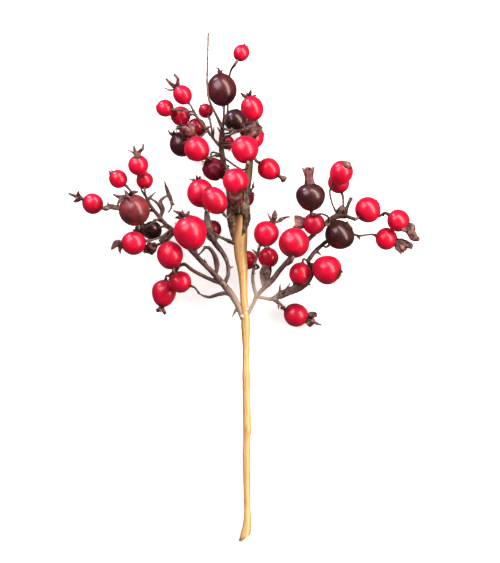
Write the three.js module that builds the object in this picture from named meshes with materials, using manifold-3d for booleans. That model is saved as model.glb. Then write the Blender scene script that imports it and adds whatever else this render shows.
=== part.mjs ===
// A cut sprig of rose hips, lying down on a flat surface: a straight straw-coloured stem, three sprays of
// brown twigs and fifty-two ripe hips, red or nearly black, each with the dried sepals of its flower.
// Units are millimetres. +Y runs up the sprig from its cut end to its tip, +Z is up from the surface, and
// the origin is on the surface, under the middle of the sprig.
import * as THREE from "three";
import { mergeVertices } from "three/addons/utils/BufferGeometryUtils.js";
import Module from "manifold-3d";

const wasm = await Module();
wasm.setup();

// Driving dimensions
const gap = 0.3; // clear space between two pieces that meet
const stemWidth = 4.3; // of the bare stem, between the joint and the cut end
const stalkWidth = 1.3; // of the thin stalk behind each hip
const stalkLead = 2.2; // how far a stalk runs straight before it meets its hip
const sepalSunk = 0.9; // how deep a sepal's root sits in the hip
const flatDepth = 0.6; // how far the three lowest hips are pressed flat by their weight
const baseShare = 0.2; // radius of the flat where the stalk meets a hip, as a share of the hip's
const tipShare = 0.34; // radius of the rim round the sepals, as a share of the hip's

// Materials
const finish = (color, roughness) => new THREE.MeshStandardMaterial({ color, roughness, metalness: 0 });
const skins = {
  red: finish(0xd8102c, 0.25),
  deep: finish(0x8e0f20, 0.3),
  maroon: finish(0x4a1518, 0.28),
  black: finish(0x24100f, 0.26),
};
const straw = finish(0xe3b66c, 0.6);
const bark = finish(0x5a3a33, 0.7);

// Solids

// A closed geometry as a solid that can be joined and cut.
function solidOf(geometry) {
  const bare = new THREE.BufferGeometry();
  bare.setAttribute("position", geometry.getAttribute("position"));
  bare.setIndex(geometry.getIndex());
  const merged = mergeVertices(bare, 1e-4);
  const vertProperties = merged.getAttribute("position").array;
  const triVerts = new Uint32Array(merged.getIndex().array);
  return new wasm.Manifold(new wasm.Mesh({ numProp: 3, vertProperties, triVerts }));
}

const joined = (solids) => solids.reduce((all, next) => all.add(next));

function meshOf(name, solid, material) {
  const { vertProperties, triVerts } = solid.getMesh();
  const geometry = new THREE.BufferGeometry();
  geometry.setAttribute("position", new THREE.BufferAttribute(vertProperties, 3));
  geometry.setIndex(new THREE.BufferAttribute(triVerts, 1));
  geometry.computeVertexNormals();
  const mesh = new THREE.Mesh(geometry, material);
  mesh.name = name;
  return mesh;
}

// A value read evenly along a short list: 0 gives its first number and 1 its last.
function along(list, share) {
  const place = share * (list.length - 1);
  const before = Math.min(Math.floor(place), list.length - 2);
  return THREE.MathUtils.lerp(list[before], list[before + 1], place - before);
}

const vector = (point) => (point.isVector3 ? point.clone() : new THREE.Vector3(...point));
const smooth = (points) => new THREE.CatmullRomCurve3(points.map(vector), false, "centripetal");

// A closed tapering branch, thorn or leaf along a smooth curve. Its section is an oval, as wide and as
// thick at each end, and at even steps between, as the two lists say. Facing is the way its flat side looks.
function sweep(points, { width, thick = width, sides = 5, steps = 6, facing = [0, 0, 1] }) {
  const curve = smooth(points);
  const positions = [];
  const index = [];
  const flat = vector(facing);
  for (let step = 0; step <= steps; step++) {
    const share = step / steps;
    const middle = curve.getPointAt(share);
    const ahead = curve.getTangentAt(share);
    const across = new THREE.Vector3().crossVectors(flat, ahead).normalize();
    flat.crossVectors(ahead, across);
    for (let side = 0; side < sides; side++) {
      const turn = ((side + 0.5) / sides) * 2 * Math.PI;
      const corner = middle.clone();
      corner.addScaledVector(across, (Math.cos(turn) * along(width, share)) / 2);
      corner.addScaledVector(flat, (Math.sin(turn) * along(thick, share)) / 2);
      positions.push(...corner.toArray());
      if (step === 0) continue;
      const here = step * sides + side;
      const next = step * sides + ((side + 1) % sides);
      index.push(here - sides, next - sides, next, here - sides, next, here);
    }
  }
  const last = steps * sides;
  for (let side = 1; side < sides - 1; side++) {
    index.push(0, side + 1, side, last, last + side, last + side + 1);
  }
  const geometry = new THREE.BufferGeometry();
  geometry.setAttribute("position", new THREE.Float32BufferAttribute(positions, 3));
  geometry.setIndex(index);
  return solidOf(geometry);
}

// The same number from 0 to 1 each time for the same seed.
function chance(seed) {
  const wild = Math.sin(seed * 12.9898) * 43758.5453;
  return wild - Math.floor(wild);
}

// The way a hip points: turn is measured on the surface from +X towards +Y, and rise towards +Z, in degrees.
function aimed([turn, rise]) {
  const way = new THREE.Vector3().setFromSphericalCoords(1, THREE.MathUtils.degToRad(90 - rise), 0);
  const level = THREE.MathUtils.degToRad(turn);
  return new THREE.Vector3(Math.cos(level) * way.z, Math.sin(level) * way.z, way.y);
}

// The stem

// Its middle line, from the cut end to the tip, and its width at even steps along that line.
const stemLine = [
  [0.6, -153.5, 4.6], [2.4, -143, 4.9], [2.5, -132, 5.6], [2.1, -108, 7.2], [2.4, -80, 9.6], [1.9, -55, 12],
  [1.8, -34, 14.2], [1.5, -17.5, 16.5], [0.5, -5, 18.2], [0.2, 3, 19.2], [-0.4, 12, 20.3], [-1.6, 23, 21.6],
  [-1.2, 33, 22.6], [-0.6, 44, 23.4], [0.8, 56, 24.4], [3, 68, 25.6], [4, 77, 26.6],
];
const stemWidths = [
  6.6, 5, 3.8, 4.1, 4.2, 4.2, 4.3, 4.7, 4.7, 4.3, 4.7, 3.9, 4.2, 5.6, 4.6, 4.2, 5.2, 7, 8.2, 7.4, 7, 6, 5.2,
  4.2,
].map((width) => (width / 4.3) * stemWidth);

function stemSolid(spare = 0) {
  const width = stemWidths.map((bare) => bare + 2 * spare);
  return sweep(stemLine, { width, sides: 8, steps: width.length - 1 });
}

// The cut end slants: a block is taken off below a plane that falls from the right to the left.
function cutEnd() {
  const block = new THREE.BoxGeometry(30, 20, 20);
  block.rotateZ(THREE.MathUtils.degToRad(38));
  block.translate(7.6, -159.2, 5);
  return solidOf(block);
}

const stem = meshOf("stem", stemSolid().subtract(cutEnd()), straw);

// Hips

// A hip seen from the side runs from its stalk at -half to its crown at +half along its axis. Pear is above 0
// where it is fuller towards the crown and below 0 where it is fuller towards the stalk.
function hipProfile(r, long, pear) {
  const half = r * long;
  const rings = r > 7 ? 5 : 4;
  const first = Math.asin(baseShare);
  const last = Math.PI - Math.asin(tipShare);
  const points = [new THREE.Vector2(0, -half * Math.cos(first))];
  for (let ring = 0; ring <= rings; ring++) {
    const turn = THREE.MathUtils.lerp(first, last, ring / rings);
    const full = 1 - pear * Math.cos(turn) * Math.sin(turn);
    points.push(new THREE.Vector2(r * Math.sin(turn) * full, -half * Math.cos(turn)));
  }
  points.push(new THREE.Vector2(0, -half * Math.cos(last)));
  return points;
}

// Crowns: how many sepals, their length and root width, the angle at which they leave the hip's axis, how far
// they bend outwards on the way (inwards below 0), and the length of the neck that carries them. A cup is the
// dried flower cup that some hips kept: its length, and its width at the foot, waist, mouth and lip.
const crowns = {
  worn: { count: 3, length: 1.5, root: 1.3, leave: 40, bend: 30, neck: 0, steps: 1 },
  spiky: { count: 5, length: 3.6, root: 1.7, leave: 30, bend: 25, neck: 0 },
  own: { count: 0, root: 1.8, neck: 0 },
  necked: { count: 0, root: 1.8, neck: 2 },
  flute: { cup: true, length: 10.6, foot: 6.2, waist: 5, mouth: 6.8, lip: 7.8 },
  bowl: { cup: true, length: 6, foot: 6.6, waist: 8.4, mouth: 9, lip: 9.4 },
  knob: { cup: true, length: 5.6, foot: 2.2, waist: 1.8, mouth: 4, lip: 2.6 },
  mouth: { cup: true, length: 1.2, foot: 5.8, waist: 5.8, mouth: 5.6, lip: 5 },
};

// A sepal is a three-sided blade, bent in the plane that holds the hip's axis.
function sepal(kind, rim, tip, turn, seed) {
  const length = kind.length * (0.75 + 0.5 * chance(seed));
  const leave = THREE.MathUtils.degToRad(kind.leave + 24 * (chance(seed + 0.3) - 0.5));
  const bend = THREE.MathUtils.degToRad(kind.bend * (0.8 + 0.4 * chance(seed + 0.6)));
  const steps = kind.steps ?? 2;
  const out = new THREE.Vector3(Math.cos(turn), 0, Math.sin(turn));
  const up = new THREE.Vector3(0, 1, 0);
  const points = [out.clone().multiplyScalar(rim).addScaledVector(up, tip - sepalSunk)];
  for (let step = 0; step < steps; step++) {
    const slope = leave + bend * (step / steps);
    const stride = length / steps + (step === 0 ? sepalSunk : 0);
    const next = points[step].clone();
    next.addScaledVector(out, Math.sin(slope) * stride).addScaledVector(up, Math.cos(slope) * stride);
    points.push(next);
  }
  const width = steps > 1 ? [kind.root, kind.root * 0.75, 0.7] : [kind.root, 0.7];
  return sweep(points, { width, thick: width.map((w) => w * 0.7), sides: 3, steps, facing: out.toArray() });
}

// The dried flower cup of a hip that kept it: a flared wall round a hollow mouth.
function flowerCup({ length, foot, waist, mouth, lip }, tip) {
  const wall = Math.min(1.1, lip / 5);
  const profile = [
    [0, -1.4], [foot, -1.4], [foot, length * 0.06], [waist, length * 0.38], [mouth, length * 0.74],
    [lip, length], [lip - 2 * wall, length], [lip * 0.4, length * 0.6], [0, length * 0.5],
  ].map(([width, height]) => new THREE.Vector2(width / 2, tip + height));
  return solidOf(new THREE.LatheGeometry(profile, 8));
}

function crownSolids({ r, long, crown }, seed) {
  const kind = crowns[crown];
  const tip = r * long * Math.cos(Math.asin(tipShare));
  if (kind.cup) return [flowerCup(kind, tip)];
  const solids = [];
  const rim = kind.neck ? 0.7 : r * tipShare * 0.72;
  if (kind.neck) {
    const neck = [[0, tip - sepalSunk, 0], [0, tip + kind.neck, 0], [0, tip + kind.neck + 0.8, 0]];
    solids.push(sweep(neck, { width: [2.6, 2.2, 3], sides: 6, steps: 2, facing: [1, 0, 0] }));
  }
  for (let n = 0; n < kind.count; n++) {
    const turn = ((n + 0.5 * chance(seed + n)) / kind.count) * 2 * Math.PI;
    solids.push(sepal(kind, rim, tip + kind.neck, turn, seed + 7 * n));
  }
  return solids;
}

// The sepals that a hip lists by their routes, each from the middle of its crown on.
function listedSepals({ at, aim, r, long, crown, sepals }) {
  const { neck, root } = crowns[crown];
  const base = vector(at).addScaledVector(aimed(aim), r * long * Math.cos(Math.asin(tipShare)) + neck - 0.5);
  return sepals.map(({ route, wide = root, widths = [wide * 0.8, wide, 0.7], plump = 1 }) => {
    const thick = [plump, plump, Math.max(0.6, plump * 0.6)];
    return sweep([base, ...route], { width: widths, thick, sides: 4, steps: route.length + 1 });
  });
}

// Turns a geometry or solid that stands along +Y about the origin to point along a hip's aim, at its place.
function placement({ at, aim }, seed) {
  const spin = new THREE.Quaternion().setFromAxisAngle(new THREE.Vector3(0, 1, 0), 6.283 * chance(seed));
  const tilt = new THREE.Quaternion().setFromUnitVectors(new THREE.Vector3(0, 1, 0), aimed(aim));
  return new THREE.Matrix4().compose(vector(at), tilt.multiply(spin), new THREE.Vector3(1, 1, 1));
}

const belowSurface = new THREE.BoxGeometry(400, 400, 20).translate(0, 0, -10);

function hipMesh(hip, name, seed) {
  const sides = hip.r > 7 ? 10 : 8;
  const body = solidOf(new THREE.LatheGeometry(hipProfile(hip.r, hip.long, hip.pear), sides));
  const upright = joined([body, ...crownSolids(hip, seed)]);
  const placed = joined([upright.transform(placement(hip, seed).toArray()), ...listedSepals(hip)]);
  if (!hip.rests) return meshOf(name, placed, skins[hip.skin]);
  const lowered = placed.translate([0, 0, -flatDepth - placed.boundingBox().min[2]]);
  return meshOf(name, lowered.subtract(solidOf(belowSurface)), skins[hip.skin]);
}

// Twigs

// The point on a spray's branches nearest to a given one, so that a stalk's root is inside its branch.
function nearestOn(branches, point) {
  const spots = branches.flatMap((branch) => smooth(branch.points).getSpacedPoints(50));
  const wanted = vector(point);
  return spots.reduce((best, spot) => (spot.distanceTo(wanted) < best.distanceTo(wanted) ? spot : best));
}

// A stalk leaves its branch at the route's first point, follows the rest and meets the hip in line with it.
function stalk(hip, branches) {
  const way = aimed(hip.aim);
  const half = hip.r * hip.long * Math.cos(Math.asin(baseShare));
  const end = vector(hip.at).addScaledVector(way, -half - gap);
  const lead = end.clone().addScaledVector(way, -stalkLead);
  const [root, ...route] = hip.route;
  const points = [nearestOn(branches, root), ...route, lead, end];
  const width = [stalkWidth * 1.25, stalkWidth, stalkWidth, stalkWidth * 1.1, stalkWidth * 1.8];
  return sweep(points, { width, sides: 4, steps: 2 + 2 * route.length });
}

const thorn = (from, to) => sweep([from, to], { width: [2, 0.4], sides: 3, steps: 1, facing: [0.1, 0.2, 1] });

function sprayMesh(name, { branches, thorns, clasp = [] }, hips) {
  const lengths = [...branches, ...clasp];
  const wood = lengths.map(({ points, ...size }) => sweep(points, { steps: points.length, ...size }));
  const stalks = hips.map((hip) => stalk(hip, branches));
  const spikes = thorns.map(([from, to]) => thorn(from, to));
  const solid = joined([...wood, ...stalks, ...spikes]);
  return meshOf(name, solid.subtract(stemSolid(gap)), bark);
}

const left = {
  branches: [
    { width: [3.4, 4.2, 3.2, 3, 2.6, 1.9], points: [
      [0, -18.5, 16.5], [-3, -10.5, 17.5], [-7.2, -3.3, 19], [-12.6, 3.3, 20.5], [-18.6, 9.9, 21],
      [-24, 15.3, 21], [-36, 27.9, 20], [-42.6, 34.5, 20], [-49.8, 42.3, 21], [-55.8, 50.1, 22],
      [-58.2, 54.9, 22.5]] },
    { width: [2.6, 2.4, 2.2, 1.8], points: [
      [-12, 2.5, 20.3], [-18.6, 5.1, 20], [-25.8, 8.4, 19], [-31, 11.4, 18], [-35.6, 14.6, 17],
      [-38.6, 13.4, 15.8], [-41.6, 10.6, 14], [-44.6, 7.4, 11.8]] },
    { width: [2, 3, 2.2, 0.7], thick: [1.4, 0.9, 0.8, 0.6], sides: 4, points: [
      [-5.4, -6, 17.9], [-10.2, -3, 16.6], [-15, -3.6, 15], [-20.4, -5.2, 13.6], [-25.2, -3.9, 13],
      [-28, -1.8, 14]] },
    { width: [2.6, 2.4, 2.8, 3.6, 5.2, 3], points: [
      [-11.4, 2.1, 20], [-9, 8.7, 21.5], [-9.6, 15.9, 22], [-12.6, 21.9, 22], [-16.8, 27.3, 22],
      [-20, 33.9, 22], [-21.4, 40.5, 22.4], [-21.8, 46.3, 22]] },
    { width: [1.8, 3.8, 2.8, 2], thick: [1.5, 1.2, 1.3, 1.5], sides: 6, points: [
      [-16.2, 8.1, 21], [-15.7, 14, 22.4], [-17.2, 20, 23.4], [-20.6, 24.4, 24.6], [-23.6, 24.6, 26.6]] },
    { width: [1.8, 3.4, 2.2, 1.2], thick: [1, 0.8, 0.8, 0.7], sides: 4, points: [
      [-49.8, 42.3, 21], [-48.4, 47.5, 21.5], [-49.6, 52.5, 22.5], [-46.2, 55.4, 23], [-44, 55.6, 23]] },
    { width: [0.8, 2.4, 3, 1.6, 0.8], thick: [0.7, 0.8, 0.8, 0.7, 0.7], sides: 4, points: [
      [-47.2, 64.5, 25], [-45.2, 58, 23.5], [-43, 51.8, 22.5], [-43.2, 48.5, 22], [-45.2, 45.4, 21.5]] },
    { width: [0.9, 1.8, 2.6], thick: [0.7, 0.8, 0.8], sides: 4, points: [
      [-57.8, 54.5, 22.5], [-54, 53.2, 23], [-51, 50.6, 23], [-49, 47.5, 21.6]] },
    { width: [1.8, 3.8, 3.4, 2.4], thick: [1.5, 1.4, 1.4, 1.5], points: [
      [-84.2, 48.4, 19.8], [-80.6, 49.4, 19.6], [-77, 48.8, 18.4], [-71, 48, 16.4]] },
    { width: [2.2, 3.6, 2.6, 0.8], thick: [1.4, 0.9, 0.8, 0.6], sides: 4, points: [
      [-37.4, 29.4, 20.1], [-40.8, 33.4, 22.4], [-44.4, 37.4, 24.4], [-47.4, 39.6, 25]] },
    { width: [2, 5, 5.4, 3.6], thick: [1.6, 1.4, 1.4, 1.2], sides: 4, points: [
      [-41.6, 35, 20], [-44.6, 32, 20.6], [-47.6, 29.4, 20.8], [-50, 27.6, 20.6]] },
  ],
  thorns: [
    [[-3.2, -8, 17.4], [-4.4, -13.6, 16.4]], [[-4.2, -12.6, 16.8], [-6.8, -17.6, 15.4]],
    [[-9.4, 12, 21.6], [-5.6, 13.2, 22.4]],
    [[-36, 27.9, 20], [-39.5, 35.5, 22.5]], [[-40, 32, 20], [-40.8, 40, 22]],
    [[-43, 51.8, 22.5], [-41, 50, 22.5]],
    [[-57.6, 53.4, 22.3], [-52, 58.5, 23.5]], [[-20.4, 33.9, 22], [-24.6, 42, 21]],
    [[-81, 49.2, 19.6], [-81.4, 52.4, 21]],
    [[-21, 12.3, 21], [-23.5, 18.2, 22.2]],
  ],
};

const right = {
  branches: [
    { width: [3, 2.4, 2.4, 2.2, 2, 1.8, 1.7], points: [
      [1, -18.5, 16.5], [4.8, -11.7, 17.5], [7.8, -4.5, 19], [6.4, 1.3, 20], [5.8, 7, 21.5],
      [6.6, 12.9, 23], [8.4, 19.5, 24.5], [9.8, 24.3, 26.5]] },
    { width: [2.2, 3.4, 3.2, 3.2, 2.8, 2.8, 4.6], points: [
      [7.4, -5.5, 19], [12.6, 0.3, 20.5], [17.4, 4.8, 22], [22.2, 11.1, 23.5], [26.4, 15.9, 24.5],
      [30.6, 20.7, 25], [36, 26.1, 25], [41.4, 31.5, 25], [46.8, 36.3, 25], [52, 41.2, 25],
      [57, 43.6, 25.6], [61.6, 44.2, 26.2]] },
    { width: [1.8, 2.2, 5, 5.4, 5.2, 3.4, 2.4], thick: [1.6, 1.6, 1.5, 1.5, 1.5, 1.8, 2], points: [
      [7.8, -4.9, 19], [12.6, -5.7, 18.5], [17.4, -6.3, 18], [22.2, -4.2, 18], [28.2, -1.5, 18.3],
      [34.2, 0.9, 18.6], [38.8, 4.9, 19.3], [41.6, 10.4, 20.6], [39, 16.4, 23]] },
    { width: [3, 2, 1.4], points: [[18.6, -6.3, 18], [22.2, -9.3, 15], [25, -11.4, 11.5]] },
    { width: [2.8, 2.6, 2.6, 1.6, 1.4], points: [
      [39, 16.4, 23], [42, 20.7, 22.4], [46.8, 25.5, 20.6], [52, 29.5, 18], [58, 32.3, 17.6],
      [64.4, 33, 20], [70, 31.6, 22.6]] },
    { width: [2, 6.4, 7.6, 4.4], thick: [1, 0.9, 0.9, 0.7], sides: 4, points: [
      [12.4, 0.8, 20.4], [13.2, 6, 20.6], [13.4, 11.4, 21.6], [14, 14, 22.2]] },
    { width: [2.8, 2.1, 2.5], points: [[61.2, 43.6, 26.2], [62.6, 49, 27.6], [65, 54.6, 29]] },
    { width: [3.4, 5.4, 3], points: [[57.6, 44, 25.6], [58.8, 46.6, 26], [60.2, 49.6, 26.6]] },
  ],
  thorns: [
    [[22, -3.6, 18.2], [22.4, 3, 19.2]], [[25, -2.4, 18.4], [28.4, 3.4, 19.4]],
    [[21.6, -8, 16.4], [21.4, -12.8, 15]],
    [[44, 22.6, 21.6], [47.4, 19.6, 23]], [[60, 44.2, 26], [68, 40.2, 27]],
    [[60.6, 44.6, 27], [60.2, 47.6, 30.4]],
    [[69, 31.9, 22.2], [70.6, 28.8, 22.8]], [[37.4, 3.4, 19], [41.4, 1.8, 19.2]],
    [[8.6, 20.4, 25], [5.2, 24, 26]],
    [[31, -0.2, 18.4], [30, 4.8, 18]], [[84, 43.7, 25.4], [85.2, 46, 26.4]],
  ],
};

const centre = {
  branches: [
    { width: [3.6, 4.2, 3.8, 3.6, 3.2, 2.6], points: [
      [-5.6, 40, 20], [-7.6, 54, 19.5], [-9.8, 66, 18.5], [-12.2, 78, 19.5], [-13.2, 88, 23],
      [-12.2, 97, 26]] },
    { width: [2.2, 1.6, 1.4, 1.3, 1.2, 1.1], points: [
      [-12.2, 96, 26], [-16.4, 104.6, 30.4], [-20.6, 114, 37], [-21.4, 122, 38.4], [-21.2, 134, 37.4],
      [-20.8, 153.4, 35]] },
    { width: [2, 1.6, 1.5, 1.4], points: [
      [-13.2, 84.6, 21.6], [-18, 90.3, 24.2], [-22.2, 95.8, 26], [-27, 102.4, 27.4], [-31, 109, 29]] },
    { width: [2.6, 2, 1.6, 0.9], points: [
      [-5, 27, 22.6], [-9.6, 29, 26], [-14.6, 31.4, 28.2], [-19, 34.2, 28.6], [-21, 36.6, 28.4]] },
  ],
  thorns: [
    [[-12.2, 92, 24.8], [-15.6, 97, 27]], [[-18.2, 90.6, 24.4], [-17.4, 97.4, 27]],
    [[-12.4, 80, 20], [-17.2, 79, 22.6]],
    [[-13.2, 86, 22.4], [-9.4, 92.6, 26]], [[3.6, 58, 26.6], [6.9, 61.4, 28]],
    [[6, 60.4, 27.8], [6.5, 64.2, 28.8]],
    [[-14.8, 31.6, 28.2], [-17, 27.6, 29.4]], [[-22.4, 96.2, 26], [-18.4, 97.6, 28]],
  ],
};

// The old bark that still clasps the stem below the middle spray: a wide flap on the left, a ragged one that
// crosses the front, a tie that joins the two and a web behind. Bare stem shows between the two flaps.
const clasp = [
  { width: [1.6, 5, 6.2, 6.8, 7.4, 4], thick: [2, 4, 5, 6, 6.2, 3], sides: 7, steps: 6, points: [
      [-4, 24.6, 22.4], [-5.2, 33, 22.6], [-6.4, 42, 23], [-6.6, 50, 23.2], [-5, 58, 23.6], [-2.4, 66, 24]] },
  { width: [1.4, 3.4, 5, 5.2, 5.4, 3], thick: [2, 4, 6, 6.4, 6, 4], sides: 7, steps: 6, points: [
      [-2.8, 26.4, 23.6], [-0.4, 33, 24.6], [1.8, 40.6, 25.2], [1.6, 50, 25.8], [1.6, 58, 26.2],
      [4, 66, 26.4]] },
  { width: [5, 9, 6], thick: [4, 2.8, 2], steps: 2, points: [
      [-5.4, 48, 25], [-1, 48.6, 28.4], [2.6, 50, 28]] },
  { width: [3, 8.4, 8.6, 6], thick: [1.6, 3.2, 3.4, 1.6], sides: 7, steps: 5, points: [
      [-3, 30, 18.6], [-1.4, 44, 19.4], [0.6, 58, 20.6], [2.4, 68, 22]] },
];

// Hips of each spray. At is the middle of the hip and r its radius. Long is its length over its width, aim
// the turn and rise of its crown, and route the way of its stalk, from its branch on. Sepals lists those that
// the crown's kind doesn't give, each with its route and either its root width or its widths along the route.
// The three with rests set bear the sprig's weight, and are pressed flat where they touch the surface.
const plain = { long: 1, pear: 0, crown: "worn", skin: "red", sepals: [] };

const leftHips = [
  { at: [-90.4, 51.1, 21], r: 6.2, long: 1.04, aim: [156, 5], crown: "necked", sepals: [
    { route: [[-100.6, 55.4, 22.6], [-105.2, 57.3, 23.6]], widths: [3, 2.2, 0.8] },
    { route: [[-99, 56.6, 23], [-99, 58.8, 24]], wide: 2.6 },
    { route: [[-100, 53, 21], [-102.3, 52, 20.4]], wide: 2.6 },
    { route: [[-99, 54, 24.4], [-100.4, 54.6, 26.4]] }],
    route: [[-54, 47.5, 21.7], [-62, 47, 17.5], [-71, 48, 16.4], [-79, 49.2, 19]] },
  { at: [-75, 65.8, 25], r: 5.4, long: 1.06, aim: [138, 0], crown: "own",
    sepals: [{ route: [[-79.4, 69.4, 25.4], [-80.8, 70.6, 25.8]], wide: 1.4 }],
    route: [[-56, 50.5, 22], [-63, 53, 18.5]] },
  { at: [-62.8, 73.9, 31.6], r: 6.1, aim: [94, 35], crown: "own", sepals: [
    { route: [[-62, 81.8, 33.4], [-60, 83.8, 34], [-59.6, 86.6, 34.4]], widths: [4.2, 3, 2, 1.1] },
    { route: [[-64.6, 82, 33.4], [-65.3, 85.4, 34.4]], widths: [4, 2.6, 1.1] },
    { route: [[-66, 81.4, 32.6], [-68.8, 82.9, 32.8]], wide: 1.3 },
    { route: [[-62.6, 81.6, 30.4], [-62, 83, 28]] }],
    route: [[-58.2, 55, 22.5], [-61.4, 60, 15], [-62.6, 66, 15], [-65, 71, 20.4]] },
  { at: [-59.2, 64.9, 22], r: 5.2, aim: [92, -30], route: [[-58.2, 55, 22.5]] },
  { at: [-65, 46.9, 32.5], r: 9.5, aim: [116, 12], crown: "own", skin: "maroon", sepals: [
    { route: [[-73.4, 54.6, 37.4], [-77.8, 56.3, 36.8]], widths: [3.4, 4, 2.4, 0.9] },
    { route: [[-73.6, 52.4, 38.6], [-75.2, 48.8, 38]], widths: [3, 3, 0.9] },
    { route: [[-65.4, 57.4, 38], [-62.4, 57.8, 37.6]], widths: [3.4, 3.6, 1] },
    { route: [[-69.6, 55.4, 41], [-67.4, 54.2, 43]], wide: 2.6 },
    { route: [[-69.8, 57, 31.4], [-71, 59.4, 28.6]], wide: 2.6 }],
    route: [[-50.5, 43, 21.2]] },
  { at: [-54.6, 34.9, 17], r: 5.7, aim: [200, -30], skin: "black", route: [[-44, 36, 20]] },
  { at: [-65.6, 27.4, 30.5], r: 7, long: 1.07, aim: [188, 4], crown: "own", sepals: [
    { route: [[-75.8, 26.8, 31.6], [-79, 23.2, 31.6]], widths: [3.4, 5.4, 3.6, 1] },
    { route: [[-73.8, 23.6, 30.8], [-73.4, 20.8, 30.4]], widths: [3, 2.6, 0.8] },
    { route: [[-75, 27, 28.6], [-77.4, 27.4, 26.6]], wide: 2.6 }],
    route: [[-43, 35, 20], [-50, 30.6, 27.4]] },
  { at: [-43.8, 19.9, 31], r: 7.9, long: 1.08, pear: 0.04, aim: [104, -18],
    route: [[-38.6, 13.4, 15.8], [-40.4, 9.4, 24.6]] },
  { at: [-31.2, 33.2, 39], r: 9.8, long: 1.08, pear: 0.12, aim: [106, 6], crown: "own", sepals: [
    { route: [[-37.4, 44.6, 41], [-41.8, 46.6, 41]], widths: [3, 3, 0.8] },
    { route: [[-35.6, 44.4, 42], [-36.2, 47, 43]], wide: 2.4 },
    { route: [[-33, 44.6, 38], [-32, 46.4, 36]], wide: 2.4 },
    { route: [[-38, 42.6, 38], [-40.6, 42.2, 36.6]], wide: 2.6 }],
    route: [[-22.6, 24.6, 26], [-26.4, 20.4, 31.6]] },
  { at: [-37.9, 4, 17], r: 6.5, long: 1.04, pear: -0.06, aim: [159, -4], route: [[-26.6, -2.9, 13]] },
  { at: [-48, -3, 7.2], r: 7.4, long: 1.12, pear: -0.14, aim: [262, 4], crown: "own", rests: true, sepals: [
    { route: [[-50.2, -12.6, 8.2], [-52.6, -13.6, 8.6]], widths: [3, 3.4, 2.2] },
    { route: [[-48.4, -13, 9], [-46.8, -15.6, 8.4]], widths: [2.6, 2.6, 2] },
    { route: [[-49.6, -12.8, 10], [-50, -14.4, 10.4]], wide: 2.6 },
    { route: [[-49.4, -12.8, 6.4], [-49.8, -13.8, 4.4]], wide: 2.6 }],
    route: [[-44.4, 7.6, 11.9]] },
  { at: [-18.4, 35.8, 13.4], r: 5.4, aim: [60, -40], skin: "deep", route: [[-16.8, 27.3, 22]] },
  { at: [-55.4, 24.4, 22.6], r: 4.5, aim: [205, -12], skin: "maroon",
    route: [[-42.6, 34.5, 20]] },
  { at: [-25.4, 57.2, 29], r: 7.9, long: 1.1, aim: [106, -6], crown: "spiky", route: [[-21.8, 46.3, 22]] },
  { at: [-61.2, 35.4, 7.6], r: 4.4, aim: [190, -20], skin: "black",
    route: [[-48, 40.2, 20.7], [-53.6, 41.2, 14]] },
];

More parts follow.
